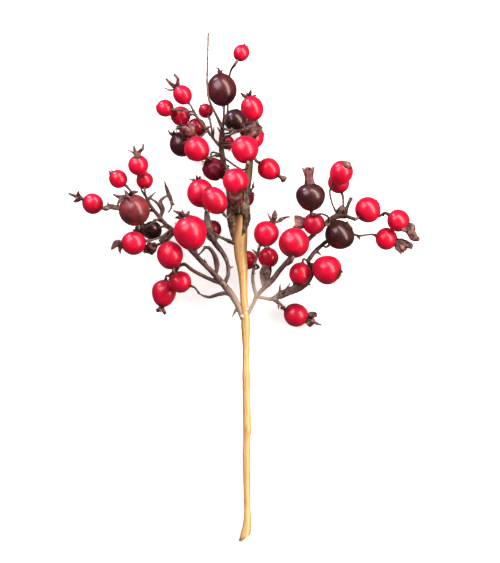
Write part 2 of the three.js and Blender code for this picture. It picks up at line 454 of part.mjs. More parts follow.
const rightHips = [
  { at: [40.3, 54.6, 42], r: 8.7, long: 0.96, pear: 0.14, aim: [94, 8], crown: "flute", skin: "black",
    route: [[52, 41.2, 25], [50.4, 43.4, 33], [46.4, 44.6, 39]] },
  { at: [58.8, 69.3, 34.5], r: 7, long: 1.12, aim: [54, 40], crown: "mouth",
    route: [[57, 43.6, 25.6], [53.6, 51, 26], [52.2, 58.6, 26.4]] },
  { at: [57.6, 63.8, 19.6], r: 6.6, aim: [106, -6],
    route: [[60.6, 44.2, 26], [60.2, 50, 23.6]] },
  { at: [74.7, 47.2, 33.6], r: 7.7, aim: [38, -22], route: [[61.4, 44.2, 26.2]] },
  { at: [93.3, 40.8, 28.2], r: 6.8, aim: [-30, 6], crown: "own", sepals: [
    { route: [[100.2, 34.4, 30.6], [103.4, 29.6, 30], [105.2, 30, 28.4]],
      widths: [4, 6.4, 5.6, 4.4, 2.6], plump: 3.8 },
    { route: [[101.6, 37, 29.4], [102.8, 34.6, 29]], widths: [4, 3.6, 2.2], plump: 3 },
    { route: [[97.4, 35.6, 31.6], [95.6, 34.4, 32.6]], widths: [4, 4, 2.4], plump: 3 }],
    route: [[61, 44.2, 26.1], [68, 42.2, 22], [76, 42.4, 22.6], [81.6, 43.3, 25]] },
  { at: [86.2, 30, 22.6], r: 6.6, aim: [-16, 0], crown: "own", sepals: [
    { route: [[93.4, 25, 24.6], [95.8, 21, 25.4]], widths: [3.6, 5, 2.6], plump: 3.6 },
    { route: [[95.6, 27.2, 24], [99.2, 26.2, 25], [101.8, 25, 25]], widths: [4, 6, 5, 2.8], plump: 3.8 },
    { route: [[95.6, 24.6, 25.6], [97.4, 22.6, 26]], widths: [4, 4, 2.4], plump: 3.4 }],
    route: [[70, 31.6, 22.6]] },
  { at: [57.7, 32.2, 29.6], r: 9, long: 0.95, pear: 0.12, aim: [44, 18], skin: "black",
    route: [[47.6, 26, 20.4]] },
  { at: [42.5, 38.8, 33.4], r: 6.6, aim: [176, -4], crown: "bowl", skin: "deep", route: [[49.4, 38.8, 25]] },
  { at: [30.6, 27.3, 40.4], r: 9.1, aim: [84, -26], route: [[26.4, 15.9, 24.5], [26.8, 14.2, 33]] },
  { at: [14, 32.6, 36], r: 7.5, long: 1.04, pear: 0.08, aim: [62, -4], crown: "own", sepals: [
    { route: [[18.6, 41.4, 36], [19, 44.2, 36.6], [19.3, 46.8, 37]],
      widths: [2.4, 2.2, 3.6, 3.4, 1.4], plump: 2.2 },
    { route: [[20.4, 39.8, 36.2], [24.2, 42, 36.6], [28.2, 43, 36.4]], widths: [2.2, 1.4, 2.8, 1.8, 0.7] },
    { route: [[16.4, 41.8, 36], [14.7, 45.1, 37]], wide: 1.2 }],
    route: [[9.8, 24.3, 26.5]] },
  { at: [15.2, 18.6, 15.8], r: 6.1, aim: [100, 10], skin: "deep", route: [[14.6, 2.2, 21]] },
  { at: [2.6, 17.1, 10.8], r: 5.7, aim: [150, -12], skin: "deep", route: [[6.4, 11, 22.6]] },
  { at: [34.4, 8.8, 26.8], r: 6.6, long: 1.06, aim: [258, 12], route: [[39, 16.4, 23]] },
  { at: [50.2, 11.4, 33.2], r: 8.8, pear: 0.1, aim: [-20, 16], route: [[39, 16.4, 23]] },
  { at: [32.1, -15.9, 6.4], r: 7, long: 1.08, aim: [-24, 4], crown: "own", rests: true, sepals: [
    { route: [[41, -16.2, 8.4], [44.6, -15.6, 8.8]], widths: [4, 5, 4.6, 2.8], plump: 2.4 },
    { route: [[40, -20.2, 8], [41.6, -22.8, 7.4]], widths: [4, 5, 2.8], plump: 2.4 },
    { route: [[42.8, -20.4, 7.4], [47.6, -22.3, 7.6]], widths: [3, 2.2, 1.2], plump: 1.6 },
    { route: [[42, -19, 5.4], [43.6, -19.8, 3.8]], wide: 2.6 }],
    route: [[25, -11.4, 11.5]] },
];

const centreHips = [
  { at: [-1, 141.2, 30], r: 4.9, long: 1.1, aim: [62, -22],
    route: [[-12, 97, 26], [-9.4, 106, 21], [-9, 118, 18.4], [-7.6, 130, 24]] },
  { at: [-12.8, 119.1, 31.6], r: 8.7, long: 1.15, aim: [97, -6], crown: "own", skin: "maroon", sepals: [
    { route: [[-14.4, 130.2, 31], [-14.6, 131.8, 31.2], [-16.6, 132.2, 31.2]], widths: [2.8, 2, 1.4, 0.9] },
    { route: [[-13.2, 130, 29], [-12.4, 131, 27]] }],
    route: [[-12.2, 97, 26]] },
  { at: [-36.3, 116, 32], r: 5.6, long: 1.1, aim: [128, 4], crown: "own", sepals: [
    { route: [[-39, 123, 34], [-38.9, 125.6, 34.6], [-41.3, 128.3, 35]], widths: [3.8, 2.8, 2, 1.4] },
    { route: [[-41.6, 121.4, 33.2], [-46.4, 125.8, 34]], widths: [3.8, 2.4, 1.2] },
    { route: [[-43.2, 118.8, 32.6], [-47, 120, 33]], wide: 1.3 },
    { route: [[-41, 121.4, 30], [-42.2, 122.6, 27.6]] }],
    route: [[-30.5, 108.4, 28.8]] },
  { at: [-46.9, 108.3, 24], r: 5.3, aim: [172, -24], route: [[-29, 105.6, 28.2]] },
  { at: [-37.6, 104, 16.4], r: 5.9, aim: [186, -28], route: [[-27, 102.4, 27.4]] },
  { at: [-22.5, 107.2, 14], r: 4.4, aim: [115, -34], route: [[-18, 90.3, 24.4]] },
  { at: [5.5, 107.5, 40.6], r: 6.8, long: 1.12, pear: 0.04, aim: [108, -6], crown: "own", sepals: [
    { route: [[0.8, 114.8, 41.4], [-1.6, 117, 42]], wide: 2.4 },
    { route: [[4, 115.4, 41], [4.9, 118.8, 41.4]], wide: 2.4 },
    { route: [[6, 114.6, 41], [8.2, 115.7, 41.4]] }, { route: [[2.8, 115.6, 38.8], [2.4, 117, 36.8]] }],
    route: [[-12.2, 95.6, 25.6], [-3, 94.6, 34]] },
  { at: [-4.8, 101.8, 6.6], r: 6.9, aim: [70, -35], skin: "black", rests: true,
    route: [[-12.6, 92.6, 24.6]] },
  { at: [4.6, 95.4, 29], r: 6.8, aim: [10, -24], skin: "maroon", route: [[-13, 89.6, 23.6]] },
  { at: [5.6, 91, 14], r: 7, aim: [24, -6], route: [[-13.2, 88, 23], [-5, 87, 20]] },
  { at: [-28.2, 96.8, 17], r: 5.9, aim: [172, -32], skin: "deep", route: [[-20, 93, 25]] },
  { at: [-33, 94.4, 28], r: 5.3, aim: [150, 6], crown: "spiky", skin: "maroon", route: [[-21.6, 95, 25.8]] },
  { at: [-37, 86.8, 18.4], r: 7, long: 1.08, aim: [122, 2], crown: "own", skin: "maroon", sepals: [
    { route: [[-43, 92.6, 19.6], [-45.4, 95.4, 20.4]], wide: 1.4 },
    { route: [[-41.4, 93.4, 20.4], [-41.8, 95, 21.6]] },
    { route: [[-42.2, 93, 17.4], [-43.4, 94, 15.4]] }],
    route: [[-12.6, 81, 20.4], [-24, 78, 19]] },
  { at: [-27.5, 83.4, 35], r: 7.3, long: 1.07, pear: 0.05, aim: [142, -8],
    route: [[-12.4, 80, 20], [-18.6, 81.6, 28]] },
  { at: [-9.6, 88.2, 12.4], r: 4.4, aim: [-60, -30], skin: "deep", route: [[-13.2, 88, 23]] },
  { at: [1.1, 82.9, 41.4], r: 8, long: 1.06, pear: 0.08, aim: [104, -28],
    route: [[-12.4, 79, 19.6], [-1, 71.4, 30.6]] },
  { at: [15.6, 71.5, 30], r: 6.5, long: 1.08, pear: -0.1, aim: [-34, 2], crown: "knob",
    route: [[-13, 86, 22.4], [-2, 86, 27], [6, 81.4, 29.4]] },
  { at: [-4.4, 64, 43.4], r: 7.8, aim: [-58, 16], route: [[-11.2, 73, 18.8], [-8.6, 73.4, 29]] },
  { at: [-17.4, 71.4, 29.6], r: 7.2, aim: [136, 18], skin: "deep", route: [[-9.8, 66, 18.5]] },
  { at: [-16.8, 52.5, 43], r: 7.2, long: 1.22, aim: [124, -12], route: [[-7.4, 52, 19.6], [-8.4, 43.6, 33]] },
  { at: [1, 54.5, 10.6], r: 5.8, aim: [30, -16], skin: "deep", route: [[-7.8, 55, 19.4]] },
  { at: [-4.6, 54, 34.4], r: 5.1, aim: [-84, 16], skin: "maroon", route: [[-8.8, 61, 19], [-8.6, 63.4, 27]] },
];

// The sprig

const sprig = new THREE.Group();
sprig.add(stem);

function addSpray(side, spray, hips) {
  const full = hips.map((hip) => ({ ...plain, ...hip }));
  sprig.add(sprayMesh("twig_" + side, spray, full));
  const seeds = { left: 100, right: 200, centre: 300 };
  full.forEach((hip, n) => {
    sprig.add(hipMesh(hip, "hip_" + side + "_" + String(n + 1).padStart(2, "0"), seeds[side] + n));
  });
}

addSpray("left", left, leftHips);
addSpray("right", right, rightHips);
addSpray("centre", { ...centre, clasp }, centreHips);

export default sprig;
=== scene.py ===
# A cut sprig of rose hips, lying on a pale table: a peeled straw-coloured stem, three thorny brown twigs and
# fifty-two waxy hips with dried sepals. Lengths in the lists are millimetres, in the frame of the solids.
import math
import bpy
import bmesh
import numpy as np
from mathutils import Matrix, Vector, noise


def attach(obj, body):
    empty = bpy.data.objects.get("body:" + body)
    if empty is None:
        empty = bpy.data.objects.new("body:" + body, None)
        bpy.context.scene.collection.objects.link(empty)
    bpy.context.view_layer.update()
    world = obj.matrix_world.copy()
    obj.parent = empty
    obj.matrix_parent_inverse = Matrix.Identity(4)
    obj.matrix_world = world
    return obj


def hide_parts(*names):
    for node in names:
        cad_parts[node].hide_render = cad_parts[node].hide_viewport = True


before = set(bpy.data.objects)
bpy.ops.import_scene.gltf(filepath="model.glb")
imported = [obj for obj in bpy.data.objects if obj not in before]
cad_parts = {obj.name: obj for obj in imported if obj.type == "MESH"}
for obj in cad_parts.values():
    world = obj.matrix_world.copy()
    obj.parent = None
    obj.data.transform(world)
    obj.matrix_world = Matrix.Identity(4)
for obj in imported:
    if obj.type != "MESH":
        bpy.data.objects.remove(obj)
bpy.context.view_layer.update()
mm = 0.001

# Small tools


def adder(tree):  # a function that adds a node to the tree and gives one of the node's outputs
    def add(kind, *first, out=0, **values):  # first holds its first inputs; None leaves one as it is
        node = tree.nodes.new(kind)
        given = [(place, value) for place, value in enumerate(first) if value is not None]
        for name, value in values.items():  # inputs start with a capital, settings with a small letter
            if name[0].islower():
                setattr(node, name, value)
            else:
                given.append((name.replace("_", " "), value))
        for name, value in given:
            if isinstance(value, bpy.types.NodeSocket):
                tree.links.new(value, node.inputs[name])
            else:
                node.inputs[name].default_value = value
        return node.outputs[out]
    return add


def fromHex(text):  # the linear colour that the shader takes, from a usual sRGB hex
    parts = [int(text[k:k + 2], 16) / 255 for k in (1, 3, 5)]
    return [p / 12.92 if p <= 0.04045 else ((p + 0.055) / 1.055) ** 2.4 for p in parts] + [1.0]


def chance(seed):  # the same number from 0 to 1 each time for the same seed
    wild = math.sin(seed * 12.9898) * 43758.5453
    return wild - math.floor(wild)


def aimed(aim):  # turn goes from +X towards +Y, and rise from the table upwards, in degrees
    turn, rise = math.radians(aim[0]), math.radians(aim[1])
    return Vector((math.cos(turn) * math.cos(rise), math.sin(turn) * math.cos(rise), math.sin(rise)))


def smoothLine(points, count):  # evenly spaced points on one smooth line through the given ones
    given = np.array(points, float)
    given = np.vstack([2 * given[0] - given[1], given, 2 * given[-1] - given[-2]])
    dense = []
    for a, b, c, d in zip(given, given[1:], given[2:], given[3:]):
        before, step, after = (max(np.linalg.norm(q - p) ** 0.5, 1e-4) for p, q in ((a, b), (b, c), (c, d)))
        leaving = ((b - a) / before - (c - a) / (before + step) + (c - b) / step) * step
        coming = ((c - b) / step - (d - b) / (step + after) + (d - c) / after) * step
        for s in np.arange(24) / 24:
            curved = s * leaving + s * s * (3 * (c - b) - 2 * leaving - coming)
            dense.append(b + curved + s ** 3 * (2 * (b - c) + leaving + coming))
    dense = np.array(dense + [given[-2]])
    run = np.concatenate([[0], np.cumsum(np.linalg.norm(np.diff(dense, axis=0), axis=1))])
    wanted = np.linspace(0, run[-1], count)
    return np.stack([np.interp(wanted, run, dense[:, k]) for k in range(3)], axis=1)


def storeOn(piece, label, numbers):  # one number, or one vector, for each of its points
    numbers = np.asarray(numbers, np.float32)
    kind, field = ("FLOAT_VECTOR", "vector") if numbers.ndim == 2 else ("FLOAT", "value")
    piece.data.attributes.new(label, kind, "POINT").data.foreach_set(field, numbers.ravel())


def meshObject(name, places, edges, faces, finish=None, **values):  # places in mm; values go on the points
    mesh = bpy.data.meshes.new(name)
    mesh.from_pydata((np.asarray(places) * mm).tolist(), edges, faces)
    piece = bpy.data.objects.new(name, mesh)
    bpy.context.scene.collection.objects.link(piece)
    for label, numbers in values.items():
        storeOn(piece, label, numbers)
    if finish:
        mesh.materials.append(finish)
    return piece


def addTree(piece, tree, **values):  # runs a node tree on a piece; each value is given by its input's name
    modifier = piece.modifiers.new(tree.name, "NODES")
    modifier.node_group = tree
    for socket in tree.interface.items_tree:
        if socket.in_out == "INPUT" and socket.name in values:
            modifier[socket.identifier] = values[socket.name]


def fuse(piece, voxel):  # runs its overlapping branches into one closed skin
    fused = piece.modifiers.new("fused", "REMESH")
    fused.mode = "VOXEL"
    fused.voxel_size = voxel * mm


def settle(piece):  # turns what the modifiers make into a plain mesh
    bpy.context.view_layer.update()
    seen = piece.evaluated_get(bpy.context.evaluated_depsgraph_get())
    piece.data = bpy.data.meshes.new_from_object(seen)
    piece.modifiers.clear()
    return piece


def joinPieces(name, pieces):
    with bpy.context.temp_override(active_object=pieces[0], selected_editable_objects=pieces):
        bpy.ops.object.join()
    pieces[0].name = name
    pieces[0].data.name = name
    return pieces[0]


print("tools ready")

# Node trees


def newTree(name, **inputs):  # with a geometry in and out, and the named inputs
    tree = bpy.data.node_groups.new(name, "GeometryNodeTree")
    for way in ("INPUT", "OUTPUT"):
        tree.interface.new_socket("Geometry", in_out=way, socket_type="NodeSocketGeometry")
    for label, kind in inputs.items():
        tree.interface.new_socket(label, in_out="INPUT", socket_type="NodeSocket" + kind)
    return tree, adder(tree), tree.nodes.new("NodeGroupInput").outputs


def endTree(tree, add, start, geometry):  # real copies in one finish are what comes out
    real = add("GeometryNodeRealizeInstances", geometry)
    done = add("GeometryNodeSetMaterial", real, Material=start["finish"])
    tree.links.new(done, tree.nodes.new("NodeGroupOutput").inputs["Geometry"])
    return tree


def readVector(add, label):
    return add("GeometryNodeInputNamedAttribute", label, data_type="FLOAT_VECTOR")


def readNumber(add, label):
    return add("GeometryNodeInputNamedAttribute", label, data_type="FLOAT")


def calculate(add, operation, *numbers):
    return add("ShaderNodeMath", *numbers, operation=operation)


def calculateVector(add, operation, *vectors, **more):
    return add("ShaderNodeVectorMath", *vectors, operation=operation, **more)


def branchTree():  # a closed tapering branch on each line of a mesh; its points hold radius and flatness
    tree, add, start = newTree("branches", sides="Int", finish="Material")
    curve = add("GeometryNodeMeshToCurve", start["Geometry"])
    curve = add("GeometryNodeSetCurveNormal", curve, mode="Z_UP")
    ahead = add("GeometryNodeInputTangent")
    level = calculateVector(add, "CROSS_PRODUCT", (0, 0, 1), ahead)
    above = calculateVector(add, "NORMALIZE", calculateVector(add, "CROSS_PRODUCT", ahead, level))
    for label, value in (("middle", add("GeometryNodeInputPosition")), ("above", above)):
        curve = add("GeometryNodeStoreNamedAttribute", curve, data_type="FLOAT_VECTOR", Name=label,
                    Value=value)
    ring = add("GeometryNodeCurvePrimitiveCircle", Resolution=start["sides"], Radius=1.0)
    radius = readNumber(add, "radius")
    skin = add("GeometryNodeCurveToMesh", Curve=curve, Profile_Curve=ring, Scale=radius, Fill_Caps=True)
    middle, above = readVector(add, "middle"), readVector(add, "above")
    offset = calculateVector(add, "SUBTRACT", add("GeometryNodeInputPosition"), middle)
    height = calculateVector(add, "DOT_PRODUCT", offset, above, out="Value")
    drop = calculate(add, "MULTIPLY", height, calculate(add, "SUBTRACT", readNumber(add, "flatness"), 1.0))
    press = calculateVector(add, "SCALE", above, Scale=drop)
    return endTree(tree, add, start, add("GeometryNodeSetPosition", skin, Offset=press))


def crownTree():  # a copy of one sepal or stamen on each point, turned and stretched as the point says
    tree, add, start = newTree("crown", part="Object", finish="Material")
    part = add("GeometryNodeObjectInfo", start["part"], out="Geometry", transform_space="ORIGINAL")
    turn = add("FunctionNodeEulerToRotation", readVector(add, "turned"))
    copies = add("GeometryNodeInstanceOnPoints", start["Geometry"], Instance=part, Rotation=turn,
                 Scale=readVector(add, "stretch"))
    return endTree(tree, add, start, copies)


def barkTree():  # lumpy relief on a twig, and small prickles scattered over it
    tree, add, start = newTree("bark", relief="Float", grain="Float", prickles="Float", prickleLength="Float",
                               seed="Int", finish="Material")
    lumps = add("ShaderNodeTexNoise", add("GeometryNodeInputPosition"), Scale=start["grain"], Detail=2.0)
    height = calculate(add, "MULTIPLY", calculate(add, "SUBTRACT", lumps, 0.5), start["relief"])
    push = calculateVector(add, "SCALE", add("GeometryNodeInputNormal"), Scale=height)
    skin = add("GeometryNodeSetPosition", start["Geometry"], Offset=push)
    spots = add("GeometryNodeDistributePointsOnFaces", skin, Density=start["prickles"], Seed=start["seed"])
    cone = add("GeometryNodeMeshCone", fill_type="NGON", Vertices=5, Radius_Top=0.00006, Radius_Bottom=0.0003,
               Depth=start["prickleLength"])
    sunk = add("GeometryNodeTransform", cone, Translation=(0, 0, -0.00015))
    size = add("FunctionNodeRandomValue", None, None, 0.5, 1.2, out=1, data_type="FLOAT", Seed=start["seed"])
    turn = spots.node.outputs["Rotation"]
    thorns = add("GeometryNodeInstanceOnPoints", spots, Instance=sunk, Rotation=turn, Scale=size)
    both = add("GeometryNodeJoinGeometry", thorns)
    tree.links.new(skin, both.node.inputs["Geometry"])
    return endTree(tree, add, start, both)


trees = {"branches": branchTree(), "crown": crownTree(), "bark": barkTree()}
print("node trees ready")

# Finishes


def newFinish(name, **values):  # a material, what adds to its nodes, and its shader with these plain values
    finish = bpy.data.materials.new(name)
    finish.use_nodes = True
    shader = finish.node_tree.nodes["Principled BSDF"]
    for label, value in values.items():
        shader.inputs[label.replace("_", " ")].default_value = value
    return finish, adder(finish.node_tree), shader


def mixColours(add, amount, first, second):
    first, second = (fromHex(colour) if isinstance(colour, str) else colour for colour in (first, second))
    return add("ShaderNodeMix", amount, *[None] * 5, first, second, out=2, data_type="RGBA")


def ramp(add, value, low, high):  # 0 at low and 1 at high, and never past them
    return add("ShaderNodeMapRange", value, From_Min=low, From_Max=high)


def clouds(add, here, scale, detail):  # with that many of them to a metre
    return add("ShaderNodeTexNoise", here, Scale=scale, Detail=detail)


def stored(add, label):  # a number that the points hold
    return add("ShaderNodeAttribute", out="Fac", attribute_name=label)


def dress(add, shader, colour, height, strength, distance):  # its colour, and its fine relief in metres
    links = shader.id_data.links
    links.new(colour, shader.inputs["Base Color"])
    bump = add("ShaderNodeBump", Strength=strength, Distance=distance, Height=height)
    links.new(bump, shader.inputs["Normal"])


def hipSkin(name, look):  # ripe flesh under thin wax: a soft pink glow, clear glints, dull mottles, pores
    finish, add, shader = newFinish(
        name, Roughness=look["roughness"], IOR=1.42, Specular_Tint=(1.0, 0.72, 0.84, 1.0),
        Coat_Weight=look["wax"], Coat_Roughness=look["waxRoughness"],
        Subsurface_Weight=look["glow"], Subsurface_Scale=0.001, Subsurface_Radius=(1.0, 0.2, 0.1))
    here = add("ShaderNodeTexCoord", out="Object")
    mottle = calculate(add, "ADD", clouds(add, here, look["mottlePerMetre"], 3.0), stored(add, "tone"))
    colour = mixColours(add, ramp(add, mottle, 0.3, 0.75), look["deep"], look["bright"])
    ends = ramp(add, calculate(add, "ABSOLUTE", stored(add, "lengthwise")), 0.8, 1.0)
    colour = mixColours(add, ends, colour, look["ends"])
    pores = ramp(add, add("ShaderNodeTexVoronoi", here, Scale=700.0), 0.16, 0.08)  # they are 1.4 mm apart
    colour = mixColours(add, calculate(add, "MULTIPLY", pores, look["pores"]), colour, look["pore"])
    dress(add, shader, colour, clouds(add, here, 260.0, 2.0), 0.16, 0.0006)
    return finish


usualSkin = {"roughness": 0.38, "wax": 0.55, "waxRoughness": 0.2, "mottlePerMetre": 150.0, "pores": 0.25,
             "glow": 0.0}
skinLooks = {
    "red": {"deep": "#b4002a", "bright": "#ea003a", "ends": "#6a0412", "pore": "#ff5a6a", "pores": 0.2,
            "wax": 0.5, "waxRoughness": 0.22, "mottlePerMetre": 170.0, "glow": 0.05},
    "deep": {"deep": "#86041e", "bright": "#c80a38", "ends": "#4c060e", "pore": "#c05a5a", "pores": 0.2,
             "roughness": 0.4, "wax": 0.35, "mottlePerMetre": 170.0},
    "dull": {"deep": "#3a0614", "bright": "#780e2a", "ends": "#24060c", "pore": "#8c4a50", "pores": 0.2,
             "roughness": 0.5, "wax": 0.15, "waxRoughness": 0.3, "mottlePerMetre": 200.0},
    "rust": {"deep": "#4c161a", "bright": "#9a3a3c", "ends": "#2a0a0c", "pore": "#a86c60", "roughness": 0.42,
             "waxRoughness": 0.24},
    "maroon": {"deep": "#2a080e", "bright": "#641c22", "ends": "#200808", "pore": "#96604f", "wax": 0.6},
    "black": {"deep": "#1e0a0a", "bright": "#482020", "ends": "#140808", "pore": "#6a5248"},
}
skins = {}
for name, look in skinLooks.items():
    skins[name] = hipSkin("waxy " + name + " hip skin", {**usualSkin, **look})


def driedLeafFinish(name, dark, mid, pale, roughness):  # shrunk leathery tissue, with a painted highlight making it paler where it stands out
    finish, add, shader = newFinish(name, Roughness=roughness, IOR=1.5)
    here = add("ShaderNodeTexCoord", out="Object")
    patches = clouds(add, here, 300.0, 2.0)
    colour = mixColours(add, ramp(add, patches, 0.35, 0.7), dark, mid)
    # the stored amount is a paler tint towards a cup's lip, and a painted highlight on the ridges of sepals
    # and shrunken skins
    tintAndHighlightAmount = calculate(add, "MULTIPLY", stored(add, "paleness"), ramp(add, patches, 0.3, 0.55))
    dress(add, shader, mixColours(add, tintAndHighlightAmount, colour, pale), clouds(add, here, 1500.0, 3.0), 0.3, 0.0003)
    return finish


sepalBrown = driedLeafFinish("dried sepal", "#24080e", "#521c22", "#bc8a82", 0.4)
cupPink = driedLeafFinish("dried flower cup", "#300c16", "#7c3446", "#cc9890", 0.42)
shrunkenSkin = driedLeafFinish("shrunken hip skin", "#22080e", "#561c22", "#8c5654", 0.4)
stamenStraw = driedLeafFinish("dried stamen", "#4a2c1c", "#8c6844", "#a88660", 0.7)
barkLook = {"bareAt": (0.005, -0.009, 0.018), "bareWithin": 0.005, "barkFrom": 0.02, "bare": "#b09c8c"}


def barkFinish(name, dark, light, grey):  # young rose bark: smooth and slightly shiny, streaked and greyed
    finish, add, shader = newFinish(name, Roughness=0.48, IOR=1.5)
    here = add("ShaderNodeTexCoord", out="Object")
    colour = mixColours(add, ramp(add, clouds(add, here, 130.0, 3.0), 0.36, 0.66), dark, light)
    patches = ramp(add, clouds(add, here, 420.0, 4.0), 0.42, 0.7)
    slow = ramp(add, clouds(add, here, 34.0, 1.0), 0.4, 0.62)  # whole lengths of some 30 mm are greyer
    colour = mixColours(add, calculate(add, "MULTIPLY", patches, slow), colour, grey)
    away = calculateVector(add, "DISTANCE", here, barkLook["bareAt"], out="Value")
    bare = ramp(add, away, barkLook["barkFrom"], barkLook["bareWithin"])  # rubbed off where the twigs meet
    colour = mixColours(add, bare, colour, barkLook["bare"])
    dress(add, shader, colour, clouds(add, here, 1200.0, 4.0), 0.5, 0.0003)
    return finish


twigBark = barkFinish("rose twig bark", "#38201e", "#6a4843", "#a08c84")
oldBark = barkFinish("old clasping bark", "#2a1814", "#5c4032", "#8c7462")
# paintedHighlightBand is a painted highlight right of the stem's middle, and edge is a painted shade on its
# left side
woodLook = {"dark": "#d09a5e", "light": "#e6bc82", "paintedHighlightBand": "#f0cc84", "paintedHighlightAt": 0.36, "edge": "#9a6234",
            "bruise": "#b07c48", "stain": "#6e5a34", "fibresPerMetre": 1400.0}


def peeledWood():  # a stem stripped of its bark: dull straw, with a painted yellow highlight band right of its middle and painted shade browning its left edge
    finish, add, shader = newFinish("peeled straw wood", Roughness=0.55, IOR=1.5)
    here = add("ShaderNodeTexCoord", out="Object")
    drawn = add("ShaderNodeMapping", here, Scale=(1.0, 0.03, 1.0))  # drawn out along the stem
    fibres = clouds(add, drawn, woodLook["fibresPerMetre"], 4.0)
    colour = mixColours(add, ramp(add, fibres, 0.36, 0.62), woodLook["dark"], woodLook["light"])
    across = stored(add, "across")
    # painted highlight: a yellow band right of the stem's middle
    away = calculate(add, "ABSOLUTE", calculate(add, "SUBTRACT", across, woodLook["paintedHighlightAt"]))
    colour = mixColours(add, ramp(add, away, 0.4, 0.05), colour, woodLook["paintedHighlightBand"])
    # painted shade: browner towards the stem's left edge
    colour = mixColours(add, ramp(add, across, -0.66, -0.98), colour, woodLook["edge"])
    drawn = add("ShaderNodeMapping", here, Scale=(1.0, 0.14, 1.0))
    bruises = clouds(add, drawn, 260.0, 3.0)
    colour = mixColours(add, ramp(add, bruises, 0.6, 0.74), colour, woodLook["bruise"])
    colour = mixColours(add, stored(add, "stain"), colour, woodLook["stain"])
    dress(add, shader, colour, fibres, 0.4, 0.0003)
    return finish


strawWood = peeledWood()
driedSap = newFinish("dried sap", Base_Color=fromHex("#e6c8c2"), Roughness=0.25, IOR=1.5)[0]
print("finishes ready")

# Routes and hips of each spray


def strand(points, width, thick=None):  # a line, its width along it, and its thickness where it is flat
    return {"points": points, "width": width, "thick": thick or width}


def sepal(route, widths=None, wide=1.8, plump=1):  # it tapers to both ends unless its widths are given
    return {"route": route, "widths": widths or [wide * 0.8, wide, wide * 0.9, 0.7], "plump": plump}


def hip(at, r, aim, route, sepals=(), **more):  # its middle, radius, direction and the route of its stalk
    usual = {"long": 1, "pear": 0, "crown": "own" if sepals else "worn", "skin": "red", "rests": False}
    return {**usual, "at": at, "r": r, "aim": aim, "route": route, "sepals": sepals, **more}


